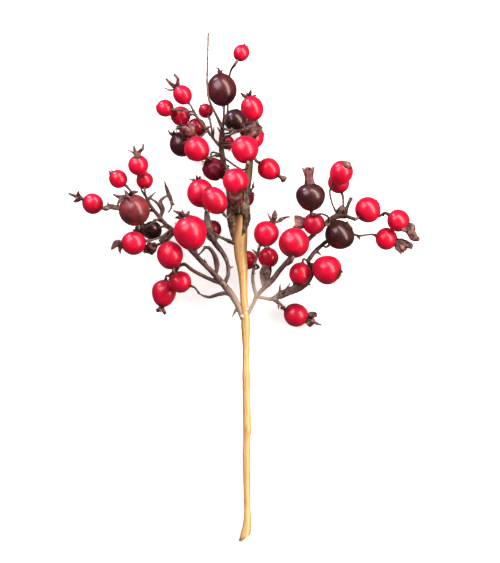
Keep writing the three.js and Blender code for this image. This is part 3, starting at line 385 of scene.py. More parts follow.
sprays = {}
sprays["left"] = {"seed": 100, "branches": [
  strand([[0, -18.5, 16.5], [-3, -10.5, 17.5], [-7.2, -3.3, 19], [-12.6, 3.3, 20.5], [-18.6, 9.9, 21],
    [-24, 15.3, 21], [-36, 27.9, 20], [-42.6, 34.5, 20], [-49.8, 42.3, 21], [-55.8, 50.1, 22],
    [-58.2, 54.9, 22.5]], [3.4, 4.2, 3.2, 3, 2.6, 1.9]),
  strand([[-12, 2.5, 20.3], [-18.6, 5.1, 20], [-25.8, 8.4, 19], [-31, 11.4, 18], [-35.6, 14.6, 17],
    [-38.6, 13.4, 15.8], [-41.6, 10.6, 14], [-44.6, 7.4, 11.8]], [2.6, 2.4, 2.2, 1.8]),
  strand([[-5.4, -6, 17.9], [-10.2, -3, 16.6], [-15, -3.6, 15], [-20.4, -5.2, 13.6], [-25.2, -3.9, 13],
    [-28, -1.8, 14]], [2, 3, 2.2, 0.7], [1.4, 0.9, 0.8, 0.6]),
  strand([[-11.4, 2.1, 20], [-9, 8.7, 21.5], [-9.6, 15.9, 22], [-12.6, 21.9, 22], [-16.8, 27.3, 22],
    [-20, 33.9, 22], [-21.4, 40.5, 22.4], [-21.8, 46.3, 22]], [2.6, 2.4, 2.8, 3.6, 5.2, 3]),
  strand([[-16.2, 8.1, 21], [-15.7, 14, 22.4], [-17.2, 20, 23.4], [-20.6, 24.4, 24.6], [-23.6, 24.6, 26.6]],
    [1.8, 3.8, 2.8, 2], [1.5, 1.2, 1.3, 1.5]),
  strand([[-49.8, 42.3, 21], [-48.4, 47.5, 21.5], [-49.6, 52.5, 22.5], [-46.2, 55.4, 23], [-44, 55.6, 23]],
    [1.8, 3.4, 2.2, 1.2], [1, 0.8, 0.8, 0.7]),
  strand([[-47.2, 64.5, 25], [-45.2, 58, 23.5], [-43, 51.8, 22.5], [-43.2, 48.5, 22], [-45.2, 45.4, 21.5]],
    [0.8, 2.4, 3, 1.6, 0.8], [0.7, 0.8, 0.8, 0.7, 0.7]),
  strand([[-57.8, 54.5, 22.5], [-54, 53.2, 23], [-51, 50.6, 23], [-49, 47.5, 21.6]], [0.9, 1.8, 2.6],
    [0.7, 0.8, 0.8]),
  strand([[-84.2, 48.4, 19.8], [-80.6, 49.4, 19.6], [-77, 48.8, 18.4], [-71, 48, 16.4]], [1.8, 3.8, 3.4, 2.4],
    [1.5, 1.4, 1.4, 1.5]),
  strand([[-37.4, 29.4, 20.1], [-40.8, 33.4, 22.4], [-44.4, 37.4, 24.4], [-47.4, 39.6, 25]],
    [2.2, 3.6, 2.6, 0.8], [1.4, 0.9, 0.8, 0.6]),
  strand([[-41.6, 35, 20], [-44.6, 32, 20.6], [-47.6, 29.4, 20.8], [-50, 27.6, 20.6]], [2, 5, 5.4, 3.6],
    [1.6, 1.4, 1.4, 1.2]),
], "thorns": [
  [[-3.2, -8, 17.4], [-4.4, -13.6, 16.4]], [[-4.2, -12.6, 16.8], [-6.8, -17.6, 15.4]],
  [[-9.4, 12, 21.6], [-5.6, 13.2, 22.4]], [[-36, 27.9, 20], [-39.5, 35.5, 22.5]],
  [[-40, 32, 20], [-40.8, 40, 22]], [[-43, 51.8, 22.5], [-41, 50, 22.5]],
  [[-57.6, 53.4, 22.3], [-52, 58.5, 23.5]], [[-20.4, 33.9, 22], [-24.6, 42, 21]],
  [[-81, 49.2, 19.6], [-81.4, 52.4, 21]], [[-21, 12.3, 21], [-23.5, 18.2, 22.2]],
], "hips": [
  hip([-90.4, 51.1, 21], 6.2, [156, 5], [[-54, 47.5, 21.7], [-62, 47, 17.5], [-71, 48, 16.4],
    [-79, 49.2, 19]], long=1.04, crown="necked", sepals=[sepal([[-100.6, 55.4, 22.6], [-105.2, 57.3, 23.6]],
    [3, 2.2, 0.8]), sepal([[-99, 56.6, 23], [-99, 58.8, 24]], wide=2.6), sepal([[-100, 53, 21],
    [-102.3, 52, 20.4]], wide=2.6), sepal([[-99, 54, 24.4], [-100.4, 54.6, 26.4]])]),
  hip([-75, 65.8, 25], 5.4, [138, 0], [[-56, 50.5, 22], [-63, 53, 18.5]], long=1.06,
    sepals=[sepal([[-79.4, 69.4, 25.4], [-80.8, 70.6, 25.8]], wide=1.4)]),
  hip([-62.8, 73.9, 31.6], 6.1, [94, 35], [[-58.2, 55, 22.5], [-61.4, 60, 15], [-62.6, 66, 15],
    [-65, 71, 20.4]], sepals=[sepal([[-62, 81.8, 33.4], [-60, 83.8, 34], [-59.6, 86.6, 34.4]],
    [4.2, 3, 2, 1.1]), sepal([[-64.6, 82, 33.4], [-65.3, 85.4, 34.4]], [4, 2.6, 1.1]),
    sepal([[-66, 81.4, 32.6], [-68.8, 82.9, 32.8]], wide=1.3), sepal([[-62.6, 81.6, 30.4], [-62, 83, 28]])]),
  hip([-59.2, 64.9, 22], 5.2, [92, -30], [[-58.2, 55, 22.5]]),
  hip([-65, 46.9, 32.5], 9.5, [116, 12], [[-50.5, 43, 21.2]], skin="maroon",
    sepals=[sepal([[-73.4, 54.6, 37.4], [-77.8, 56.3, 36.8]], [3.4, 4, 2.4, 0.9]), sepal([[-73.6, 52.4, 38.6],
    [-75.2, 48.8, 38]], [3, 3, 0.9]), sepal([[-65.4, 57.4, 38], [-62.4, 57.8, 37.6]], [3.4, 3.6, 1]),
    sepal([[-69.6, 55.4, 41], [-67.4, 54.2, 43]], wide=2.6), sepal([[-69.8, 57, 31.4], [-71, 59.4, 28.6]],
    wide=2.6)]),
  hip([-54.6, 34.9, 17], 5.7, [200, -30], [[-44, 36, 20]], skin="black"),
  hip([-65.6, 27.4, 30.5], 7, [188, 4], [[-43, 35, 20], [-50, 30.6, 27.4]], long=1.07,
    sepals=[sepal([[-75.8, 26.8, 31.6], [-79, 23.2, 31.6]], [3.4, 5.4, 3.6, 1]), sepal([[-73.8, 23.6, 30.8],
    [-73.4, 20.8, 30.4]], [3, 2.6, 0.8]), sepal([[-75, 27, 28.6], [-77.4, 27.4, 26.6]], wide=2.6)]),
  hip([-43.8, 19.9, 31], 7.9, [104, -18], [[-38.6, 13.4, 15.8], [-40.4, 9.4, 24.6]], long=1.08, pear=0.04),
  hip([-31.2, 33.2, 39], 9.8, [106, 6], [[-22.6, 24.6, 26], [-26.4, 20.4, 31.6]], long=1.08, pear=0.12,
    sepals=[sepal([[-37.4, 44.6, 41], [-41.8, 46.6, 41]], [3, 3, 0.8]), sepal([[-35.6, 44.4, 42],
    [-36.2, 47, 43]], wide=2.4), sepal([[-33, 44.6, 38], [-32, 46.4, 36]], wide=2.4), sepal([[-38, 42.6, 38],
    [-40.6, 42.2, 36.6]], wide=2.6)]),
  hip([-37.9, 4, 17], 6.5, [159, -4], [[-26.6, -2.9, 13]], long=1.04, pear=-0.06),
  hip([-48, -3, 7.2], 7.4, [262, 4], [[-44.4, 7.6, 11.9]], long=1.12, pear=-0.14, rests=True,
    sepals=[sepal([[-50.2, -12.6, 8.2], [-52.6, -13.6, 8.6]], [3, 3.4, 2.2]), sepal([[-48.4, -13, 9],
    [-46.8, -15.6, 8.4]], [2.6, 2.6, 2]), sepal([[-49.6, -12.8, 10], [-50, -14.4, 10.4]], wide=2.6),
    sepal([[-49.4, -12.8, 6.4], [-49.8, -13.8, 4.4]], wide=2.6)]),
  hip([-18.4, 35.8, 13.4], 5.4, [60, -40], [[-16.8, 27.3, 22]], skin="deep"),
  hip([-55.4, 24.4, 22.6], 4.5, [205, -12], [[-42.6, 34.5, 20]], skin="maroon"),
  hip([-25.4, 57.2, 29], 7.9, [106, -6], [[-21.8, 46.3, 22]], long=1.1, crown="spiky"),
  hip([-61.2, 35.4, 7.6], 4.4, [190, -20], [[-48, 40.2, 20.7], [-53.6, 41.2, 14]], skin="black"),
]}
sprays["right"] = {"seed": 200, "branches": [
  strand([[1, -18.5, 16.5], [4.8, -11.7, 17.5], [7.8, -4.5, 19], [6.4, 1.3, 20], [5.8, 7, 21.5],
    [6.6, 12.9, 23], [8.4, 19.5, 24.5], [9.8, 24.3, 26.5]], [3, 2.4, 2.4, 2.2, 2, 1.8, 1.7]),
  strand([[7.4, -5.5, 19], [12.6, 0.3, 20.5], [17.4, 4.8, 22], [22.2, 11.1, 23.5], [26.4, 15.9, 24.5],
    [30.6, 20.7, 25], [36, 26.1, 25], [41.4, 31.5, 25], [46.8, 36.3, 25], [52, 41.2, 25], [57, 43.6, 25.6],
    [61.6, 44.2, 26.2]], [2.2, 3.4, 3.2, 3.2, 2.8, 2.8, 4.6]),
  strand([[7.8, -4.9, 19], [12.6, -5.7, 18.5], [17.4, -6.3, 18], [22.2, -4.2, 18], [28.2, -1.5, 18.3],
    [34.2, 0.9, 18.6], [38.8, 4.9, 19.3], [41.6, 10.4, 20.6], [39, 16.4, 23]],
    [1.8, 2.2, 5, 5.4, 5.2, 3.4, 2.4], [1.6, 1.6, 1.5, 1.5, 1.5, 1.8, 2]),
  strand([[18.6, -6.3, 18], [22.2, -9.3, 15], [25, -11.4, 11.5]], [3, 2, 1.4]),
  strand([[39, 16.4, 23], [42, 20.7, 22.4], [46.8, 25.5, 20.6], [52, 29.5, 18], [58, 32.3, 17.6],
    [64.4, 33, 20], [70, 31.6, 22.6]], [2.8, 2.6, 2.6, 1.6, 1.4]),
  strand([[12.4, 0.8, 20.4], [13.2, 6, 20.6], [13.4, 11.4, 21.6], [14, 14, 22.2]], [2, 6.4, 7.6, 4.4],
    [1, 0.9, 0.9, 0.7]),
  strand([[61.2, 43.6, 26.2], [62.6, 49, 27.6], [65, 54.6, 29]], [2.8, 2.1, 2.5]),
  strand([[57.6, 44, 25.6], [58.8, 46.6, 26], [60.2, 49.6, 26.6]], [3.4, 5.4, 3]),
], "thorns": [
  [[22, -3.6, 18.2], [22.4, 3, 19.2]], [[25, -2.4, 18.4], [28.4, 3.4, 19.4]],
  [[21.6, -8, 16.4], [21.4, -12.8, 15]], [[44, 22.6, 21.6], [47.4, 19.6, 23]],
  [[60, 44.2, 26], [68, 40.2, 27]], [[60.6, 44.6, 27], [60.2, 47.6, 30.4]],
  [[69, 31.9, 22.2], [70.6, 28.8, 22.8]], [[37.4, 3.4, 19], [41.4, 1.8, 19.2]],
  [[8.6, 20.4, 25], [5.2, 24, 26]], [[31, -0.2, 18.4], [30, 4.8, 18]], [[84, 43.7, 25.4], [85.2, 46, 26.4]],
], "hips": [
  hip([40.3, 54.6, 42], 8.7, [94, 8], [[52, 41.2, 25], [50.4, 43.4, 33], [46.4, 44.6, 39]], long=0.96,
    pear=0.14, crown="flute", skin="black"),
  hip([58.8, 69.3, 34.5], 7, [54, 40], [[57, 43.6, 25.6], [53.6, 51, 26], [52.2, 58.6, 26.4]], long=1.12,
    crown="mouth"),
  hip([57.6, 63.8, 19.6], 6.6, [106, -6], [[60.6, 44.2, 26], [60.2, 50, 23.6]]),
  hip([74.7, 47.2, 33.6], 7.7, [38, -22], [[61.4, 44.2, 26.2]]),
  hip([93.3, 40.8, 28.2], 6.8, [-30, 6], [[61, 44.2, 26.1], [68, 42.2, 22], [76, 42.4, 22.6],
    [81.6, 43.3, 25]], sepals=[sepal([[100.2, 34.4, 30.6], [103.4, 29.6, 30], [105.2, 30, 28.4]],
    [4, 6.4, 5.6, 4.4, 2.6], plump=3.8), sepal([[101.6, 37, 29.4], [102.8, 34.6, 29]], [4, 3.6, 2.2],
    plump=3), sepal([[97.4, 35.6, 31.6], [95.6, 34.4, 32.6]], [4, 4, 2.4], plump=3)]),
  hip([86.2, 30, 22.6], 6.6, [-16, 0], [[70, 31.6, 22.6]], sepals=[sepal([[93.4, 25, 24.6], [95.8, 21, 25.4]],
    [3.6, 5, 2.6], plump=3.6), sepal([[95.6, 27.2, 24], [99.2, 26.2, 25], [101.8, 25, 25]], [4, 6, 5, 2.8],
    plump=3.8), sepal([[95.6, 24.6, 25.6], [97.4, 22.6, 26]], [4, 4, 2.4], plump=3.4)]),
  hip([57.7, 32.2, 29.6], 9, [44, 18], [[47.6, 26, 20.4]], long=0.95, pear=0.12, skin="black"),
  hip([42.5, 38.8, 33.4], 6.6, [176, -4], [[49.4, 38.8, 25]], crown="bowl", skin="deep"),
  hip([30.6, 27.3, 40.4], 9.1, [84, -26], [[26.4, 15.9, 24.5], [26.8, 14.2, 33]]),
  hip([14, 32.6, 36], 7.5, [62, -4], [[9.8, 24.3, 26.5]], long=1.04, pear=0.08,
    sepals=[sepal([[18.6, 41.4, 36], [19, 44.2, 36.6], [19.3, 46.8, 37]], [2.4, 2.2, 3.6, 3.4, 1.4],
    plump=2.2), sepal([[20.4, 39.8, 36.2], [24.2, 42, 36.6], [28.2, 43, 36.4]], [2.2, 1.4, 2.8, 1.8, 0.7]),
    sepal([[16.4, 41.8, 36], [14.7, 45.1, 37]], wide=1.2)]),
  hip([15.2, 18.6, 15.8], 6.1, [100, 10], [[14.6, 2.2, 21]], skin="deep"),
  hip([2.6, 17.1, 10.8], 5.7, [150, -12], [[6.4, 11, 22.6]], skin="deep"),
  hip([34.4, 8.8, 26.8], 6.6, [258, 12], [[39, 16.4, 23]], long=1.06),
  hip([50.2, 11.4, 33.2], 8.8, [-20, 16], [[39, 16.4, 23]], pear=0.1),
  hip([32.1, -15.9, 6.4], 7, [-24, 4], [[25, -11.4, 11.5]], long=1.08, rests=True,
    sepals=[sepal([[41, -16.2, 8.4], [44.6, -15.6, 8.8]], [4, 5, 4.6, 2.8], plump=2.4), sepal([[40, -20.2, 8],
    [41.6, -22.8, 7.4]], [4, 5, 2.8], plump=2.4), sepal([[42.8, -20.4, 7.4], [47.6, -22.3, 7.6]],
    [3, 2.2, 1.2], plump=1.6), sepal([[42, -19, 5.4], [43.6, -19.8, 3.8]], wide=2.6)]),
]}
sprays["centre"] = {"seed": 300, "branches": [
  strand([[-5.6, 40, 20], [-7.6, 54, 19.5], [-9.8, 66, 18.5], [-12.2, 78, 19.5], [-13.2, 88, 23],
    [-12.2, 97, 26]], [3.6, 4.2, 3.8, 3.6, 3.2, 2.6]),
  strand([[-12.2, 96, 26], [-16.4, 104.6, 30.4], [-20.6, 114, 37], [-21.4, 122, 38.4], [-21.2, 134, 37.4],
    [-20.8, 153.4, 35]], [2.2, 1.6, 1.4, 1.3, 1.2, 1.1]),
  strand([[-13.2, 84.6, 21.6], [-18, 90.3, 24.2], [-22.2, 95.8, 26], [-27, 102.4, 27.4], [-31, 109, 29]],
    [2, 1.6, 1.5, 1.4]),
  strand([[-5, 27, 22.6], [-9.6, 29, 26], [-14.6, 31.4, 28.2], [-19, 34.2, 28.6], [-21, 36.6, 28.4]],
    [2.6, 2, 1.6, 0.9]),
], "clasp": [  # old bark round the upper stem
  strand([[-4, 24.6, 22.4], [-5.2, 33, 22.6], [-6.4, 42, 23], [-6.6, 50, 23.2], [-5, 58, 23.6],
    [-2.4, 66, 24]], [1.6, 5, 6.2, 6.8, 7.4, 4], [2, 4, 5, 6, 6.2, 3]),
  strand([[-2.8, 26.4, 23.6], [-0.4, 33, 24.6], [1.8, 40.6, 25.2], [1.6, 50, 25.8], [1.6, 58, 26.2],
    [4, 66, 26.4]], [1.4, 3.4, 5, 5.2, 5.4, 3], [2, 4, 6, 6.4, 6, 4]),
  strand([[-5.4, 48, 25], [-1, 48.6, 28.4], [2.6, 50, 28]], [5, 9, 6], [4, 2.8, 2]),
  strand([[-3, 30, 18.6], [-1.4, 44, 19.4], [0.6, 58, 20.6], [2.4, 68, 22]], [3, 8.4, 8.6, 6],
    [1.6, 3.2, 3.4, 1.6]),
], "thorns": [
  [[-12.2, 92, 24.8], [-15.6, 97, 27]], [[-18.2, 90.6, 24.4], [-17.4, 97.4, 27]],
  [[-12.4, 80, 20], [-17.2, 79, 22.6]], [[-13.2, 86, 22.4], [-9.4, 92.6, 26]],
  [[3.6, 58, 26.6], [6.9, 61.4, 28]], [[6, 60.4, 27.8], [6.5, 64.2, 28.8]],
  [[-14.8, 31.6, 28.2], [-17, 27.6, 29.4]], [[-22.4, 96.2, 26], [-18.4, 97.6, 28]],
], "hips": [
  hip([-1, 141.2, 30], 4.9, [62, -22], [[-12, 97, 26], [-9.4, 106, 21], [-9, 118, 18.4], [-7.6, 130, 24]],
    long=1.1),
  hip([-12.8, 119.1, 31.6], 8.7, [97, -6], [[-12.2, 97, 26]], long=1.15, skin="maroon",
    sepals=[sepal([[-14.4, 130.2, 31], [-14.6, 131.8, 31.2], [-16.6, 132.2, 31.2]], [2.8, 2, 1.4, 0.9]),
    sepal([[-13.2, 130, 29], [-12.4, 131, 27]])]),
  hip([-36.3, 116, 32], 5.6, [128, 4], [[-30.5, 108.4, 28.8]], long=1.1, sepals=[sepal([[-39, 123, 34],
    [-38.9, 125.6, 34.6], [-41.3, 128.3, 35]], [3.8, 2.8, 2, 1.4]), sepal([[-41.6, 121.4, 33.2],
    [-46.4, 125.8, 34]], [3.8, 2.4, 1.2]), sepal([[-43.2, 118.8, 32.6], [-47, 120, 33]], wide=1.3),
    sepal([[-41, 121.4, 30], [-42.2, 122.6, 27.6]])]),
  hip([-46.9, 108.3, 24], 5.3, [172, -24], [[-29, 105.6, 28.2]]),
  hip([-37.6, 104, 16.4], 5.9, [186, -28], [[-27, 102.4, 27.4]]),
  hip([-22.5, 107.2, 14], 4.4, [115, -34], [[-18, 90.3, 24.4]]),
  hip([5.5, 107.5, 40.6], 6.8, [108, -6], [[-12.2, 95.6, 25.6], [-3, 94.6, 34]], long=1.12, pear=0.04,
    sepals=[sepal([[0.8, 114.8, 41.4], [-1.6, 117, 42]], wide=2.4), sepal([[4, 115.4, 41],
    [4.9, 118.8, 41.4]], wide=2.4), sepal([[6, 114.6, 41], [8.2, 115.7, 41.4]]), sepal([[2.8, 115.6, 38.8],
    [2.4, 117, 36.8]])]),
  hip([-4.8, 101.8, 6.6], 6.9, [70, -35], [[-12.6, 92.6, 24.6]], skin="black", rests=True),
  hip([4.6, 95.4, 29], 6.8, [10, -24], [[-13, 89.6, 23.6]], skin="maroon"),
  hip([5.6, 91, 14], 7, [24, -6], [[-13.2, 88, 23], [-5, 87, 20]]),
  hip([-28.2, 96.8, 17], 5.9, [172, -32], [[-20, 93, 25]], skin="deep"),
  hip([-33, 94.4, 28], 5.3, [150, 6], [[-21.6, 95, 25.8]], crown="spiky", skin="maroon"),
  hip([-37, 86.8, 18.4], 7, [122, 2], [[-12.6, 81, 20.4], [-24, 78, 19]], long=1.08, skin="maroon",
    sepals=[sepal([[-43, 92.6, 19.6], [-45.4, 95.4, 20.4]], wide=1.4), sepal([[-41.4, 93.4, 20.4],
    [-41.8, 95, 21.6]]), sepal([[-42.2, 93, 17.4], [-43.4, 94, 15.4]])]),
  hip([-27.5, 83.4, 35], 7.3, [142, -8], [[-12.4, 80, 20], [-18.6, 81.6, 28]], long=1.07, pear=0.05),
  hip([-9.6, 88.2, 12.4], 4.4, [-60, -30], [[-13.2, 88, 23]], skin="deep"),
  hip([1.1, 82.9, 41.4], 8, [104, -28], [[-12.4, 79, 19.6], [-1, 71.4, 30.6]], long=1.06, pear=0.08),
  hip([15.6, 71.5, 30], 6.5, [-34, 2], [[-13, 86, 22.4], [-2, 86, 27], [6, 81.4, 29.4]], long=1.08, pear=-0.1,
    crown="knob"),
  hip([-4.4, 64, 43.4], 7.8, [-58, 16], [[-11.2, 73, 18.8], [-8.6, 73.4, 29]]),
  hip([-17.4, 71.4, 29.6], 7.2, [136, 18], [[-9.8, 66, 18.5]], skin="deep"),
  hip([-16.8, 52.5, 43], 7.2, [124, -12], [[-7.4, 52, 19.6], [-8.4, 43.6, 33]], long=1.22),
  hip([1, 54.5, 10.6], 5.8, [30, -16], [[-7.8, 55, 19.4]], skin="deep"),
  hip([-4.6, 54, 34.4], 5.1, [-84, 16], [[-8.8, 61, 19], [-8.6, 63.4, 27]], skin="maroon"),
]}

# Branches


def strandPiece(name, strands, spacing, sides, finish):  # closed tapering branches along the strands
    places, edges, radii, flats = [], [], [], []
    for line in strands:
        length = np.linalg.norm(np.diff(np.array(line["points"], float), axis=0), axis=1).sum()
        count = max(5, int(length / spacing))
        width, depth = (np.interp(np.linspace(0, 1, count), np.linspace(0, 1, len(sizes)), sizes)
                        for sizes in (line["width"], line["thick"]))
        first = len(places)
        places.extend(smoothLine(line["points"], count))
        edges.extend((first + k, first + k + 1) for k in range(count - 1))
        radii.extend(width / 2 * mm)
        flats.extend(depth / width)
    piece = meshObject(name, places, edges, [], radius=radii, flatness=flats)
    addTree(piece, trees["branches"], sides=sides, finish=finish)
    return piece


def nearestOn(branches, point):
    spots = np.vstack([smoothLine(branch["points"], 51) for branch in branches])
    return spots[np.argmin(np.linalg.norm(spots - np.array(point), axis=1))].tolist()


hipLook = {"rings": 34, "sides": 56, "stalkEnd": 0.2, "crownEnd": 0.34, "hold": (0.75, 0.5), "lean": 0.02,
           "lobes": ((2, 0.018), (3, 0.012), (5, 0.008)), "toneSpread": 0.16, "pressed": 0.6,
           "dish": ((0.97, 0.22), (0.88, 0.3), (0.76, 0.12), (0.55, -0.25), (0.25, -0.35))}
twigLook = {"stalk": [1.625, 1.3, 1.3, 1.43, 2.21], "lead": 2.9, "into": 0.4, "thorn": [2.2, 0.5],
            "spacing": 0.5, "sides": 10, "voxel": 0.3, "easedTimes": 3}
twigRelief = {"relief": 0.0005, "grain": 520.0, "prickles": 9000.0, "prickleLength": 0.0011}
claspLook = {"from": (-12, 22.5, 14), "to": (12, 70, 33), "furrow": 0.5, "furrowsPerMetre": (900, 110, 900)}


def stalkStrand(hip, branches):  # from its branch by its route, then straight into its hip
    way = aimed(hip["aim"])
    half = hip["r"] * hip["long"] * math.cos(math.asin(hipLook["stalkEnd"]))
    end = Vector(hip["at"]) - way * (half - twigLook["into"])
    root, *route = hip["route"]
    lead = end - way * twigLook["lead"]
    return strand([nearestOn(branches, root), *route, list(lead), list(end)], twigLook["stalk"])


def twigPiece(name, spray):
    strands = spray["branches"] + spray.get("clasp", [])
    strands += [stalkStrand(hip, spray["branches"]) for hip in spray["hips"]]
    strands += [strand(ends, twigLook["thorn"]) for ends in spray["thorns"]]
    twig = strandPiece(name, strands, twigLook["spacing"], twigLook["sides"], twigBark)
    fuse(twig, twigLook["voxel"])
    eased = twig.modifiers.new("eased", "SMOOTH")
    eased.iterations = twigLook["easedTimes"]
    addTree(twig, trees["bark"], seed=spray["seed"], finish=twigBark, **twigRelief)
    settle(twig)
    if "clasp" in spray:
        weatherClasp(twig)
    print(name, len(twig.data.polygons), "faces")
    return twig


def weatherClasp(twig):  # the old bark on the stem is another colour, and furrowed along its length
    low, high = (Vector(claspLook[end]) * mm for end in ("from", "to"))

    def inside(place):
        return all(low[k] < place[k] < high[k] for k in range(3))

    twig.data.materials.clear()
    for bark in (twigBark, oldBark):
        twig.data.materials.append(bark)
    for face in twig.data.polygons:
        face.material_index = int(inside(face.center))
    old = [point for point in twig.data.vertices if inside(point.co)]
    spots = [Vector([a * b for a, b in zip(point.co, claspLook["furrowsPerMetre"])]) for point in old]
    moves = [point.normal * (noise.noise(spot) * claspLook["furrow"] * mm) for point, spot in zip(old, spots)]
    for point, move in zip(old, moves):
        point.co += move


# Hips

crownLooks = {
    "worn": {"count": 3, "length": 1.5, "root": 1.3, "leave": 40, "bend": 30},
    "spiky": {"count": 5, "length": 3.6, "root": 1.7, "leave": 30, "bend": 25},
    "own": {},
    "necked": {"neck": 2},
    "flute": {"length": 10.6, "wide": (6.2, 5, 6.8, 7.8), "frill": 0.1, "lift": 0.9},
    "bowl": {"length": 6, "wide": (6.6, 8.4, 9, 9.4), "frill": 0.09, "lift": 0.7},
    "knob": {"length": 5.6, "wide": (2.2, 2.2, 4.8, 3), "frill": 0.06, "lift": 0.2},
    "mouth": {"length": 1.2, "wide": (5.8, 5.8, 5.6, 5), "frill": 0.08, "lift": 0.3},
}
fullTurn = 6.283  # radians
sepalLook = {"steps": 6, "spacing": 0.35, "sides": 10, "into": 0.5, "rim": 0.72, "leanSpread": 24,
             "scatter": 0.25}
stamenLook = {"count": 11, "leave": 22, "spacing": 0.3, "sides": 5, "into": 0.4, "rim": 0.3, "scatter": 0.5}
neckLook = {"from": -0.9, "past": 0.8, "widths": [3.6, 2.2, 2.3, 3.2], "spacing": 0.3, "sides": 14}


def latheShape(profile, sides, warp):  # rings round +Y; warp gives each point's share of the ring's radius
    places, faces = [], []
    for row, (radius, height) in enumerate(profile):
        for side in range(sides):
            turn = 2 * math.pi * side / sides
            away = radius * warp(row, turn)
            places.append((math.cos(turn) * away, height, math.sin(turn) * away))
            if row:
                here, beside = row * sides + side, row * sides + (side + 1) % sides
                faces.append((here - sides, here, beside, beside - sides))
    last = (len(profile) - 1) * sides
    return places, faces + [tuple(range(sides)), tuple(range(last + sides - 1, last - 1, -1))]


def hipPlacement(hip, seed):
    spin = Matrix.Rotation(fullTurn * chance(seed), 4, "Y")
    tilt = Vector((0, 1, 0)).rotation_difference(aimed(hip["aim"])).to_matrix().to_4x4()
    return Matrix.Scale(mm, 4) @ (Matrix.Translation(hip["at"]) @ tilt @ spin) @ Matrix.Scale(1 / mm, 4)


def hipBody(hip, seed):  # the fleshy body, its stalk end closed and its crown end sunk in a shallow dish
    half = hip["r"] * hip["long"]
    rings, sides = hipLook["rings"], hipLook["sides"]
    first, last = math.asin(hipLook["stalkEnd"]), math.pi - math.asin(hipLook["crownEnd"])
    hold, below = hipLook["hold"]  # the first ring closes round the stalk, that far below the body
    profile, lengthwise = [(hold, -half * math.cos(first) - below)], [-1.1]
    for ring in range(rings + 1):
        turn = first + (last - first) * ring / rings
        full = 1 - hip["pear"] * math.cos(turn) * math.sin(turn)
        profile.append((hip["r"] * math.sin(turn) * full, -half * math.cos(turn)))
        lengthwise.append(-math.cos(turn))
    rim, top = profile[-1]
    profile += [(rim * share, top + rise) for share, rise in hipLook["dish"]]
    lengthwise += [1.2] * len(hipLook["dish"])
    *phases, slopePhase = [fullTurn * chance(seed + k) for k in range(4)]

    def warp(row, turn):
        swell = math.sin(math.pi * min(1, row / (rings + 1)))
        lobes = sum(high * math.cos(n * turn + phase) for (n, high), phase in zip(hipLook["lobes"], phases))
        return 1 + swell * (lobes + hipLook["lean"] * math.cos(turn + slopePhase + 2.5 * row / rings))

    places, faces = latheShape(profile, sides, warp)
    tone = hipLook["toneSpread"] * (chance(seed + 0.7) - 0.5)
    body = meshObject("body", places, [], faces, skins[hip["skin"]], lengthwise=np.repeat(lengthwise, sides),
                      tone=np.full(len(places), tone))
    body.data.materials.append(sepalBrown)
    stalkCap = len(faces) - 2
    for face in body.data.polygons:  # the dish and its floor are brown
        face.material_index = int(face.index >= (rings + 2) * sides and face.index != stalkCap)
    return body


cupLook = {"sides": 48, "wall": 0.6, "ribs": (9, 0.03), "pinkAbove": 0.08}


def cupBody(look, tip, seed):  # a dried flower cup, ribbed outside, with an uneven lip round a hollow mouth
    length, sides = look["length"], cupLook["sides"]
    foot, waist, mouth, lip = (wide / 2 for wide in look["wide"])
    wall = min(cupLook["wall"], lip / 4)
    outside = [(foot * 0.9, -1.2), (foot, -0.4), (foot, length * 0.06), ((foot + waist) / 2, length * 0.2),
               (waist, length * 0.38), ((waist + mouth) / 2, length * 0.56), (mouth, length * 0.74),
               (lip * 0.97, length * 0.92), (lip, length)]
    inside = [(lip - wall, length - 0.1), (mouth - 1.3 * wall, length * 0.8), (mouth * 0.7, length * 0.6),
              (mouth * 0.25, length * 0.5)]
    profile = [(radius, tip + height) for radius, height in outside + inside]
    share = [min(1, row / (len(outside) - 1)) for row in range(len(profile))]  # 0 at the foot, 1 at the lip

    def warp(row, turn):
        ribs = cupLook["ribs"][1] * math.cos(cupLook["ribs"][0] * turn + seed)
        frill = math.cos(3 * turn + seed) + 0.5 * math.cos(5 * turn + 2 * seed)
        return 1 + ribs + look["frill"] * share[row] ** 2 * frill

    places, faces = latheShape(profile, sides, warp)
    paleness = []
    for k, (x, height, z) in enumerate(places):
        turn = math.atan2(z, x)
        wave = math.sin(2 * turn + seed) + 0.4 * math.sin(7 * turn)
        places[k] = (x, height - abs(look["lift"] * share[k // sides] ** 3 * wave), z)
        paleness.append(share[k // sides] ** 1.5 * (0.6 + 0.4 * math.cos(turn + seed)))
    finish = cupPink if look["frill"] > cupLook["pinkAbove"] else sepalBrown
    cup = meshObject("cup", places, [], faces, finish, paleness=paleness)
    rounded = cup.modifiers.new("rounded", "SUBSURF")
    rounded.levels = rounded.render_levels = 1
    return settle(cup)


def sepalPart(name, look):  # one sepal lying along +X and curling up towards +Z, to be copied round a crown
    steps, root = sepalLook["steps"], look["root"]
    points, step = [(0, 0, 0)], look["length"] / steps
    for k in range(steps):
        slope = math.radians(look["bend"]) * (k / (steps - 1)) ** 1.2
        points.append((points[-1][0] + math.cos(slope) * step, 0, points[-1][2] + math.sin(slope) * step))
    line = strand(points, [root * 0.9, root, root * 0.8, root * 0.5, 0.5], [root * 0.6, 0.8, 0.6, 0.55, 0.4])
    return settle(strandPiece(name, [line], sepalLook["spacing"], sepalLook["sides"], sepalBrown))


stamenStrand = strand([(0, 0, 0), (0.7, 0, 0.05), (1.4, 0, 0.3), (1.9, 0, 0.7)], [0.24, 0.2, 0.2, 0.42, 0.3])
stamenPart = strandPiece("stamen", [stamenStrand], stamenLook["spacing"], stamenLook["sides"], stamenStraw)
settle(stamenPart)
sepalParts = {name: sepalPart(name, look) for name, look in crownLooks.items() if "count" in look}


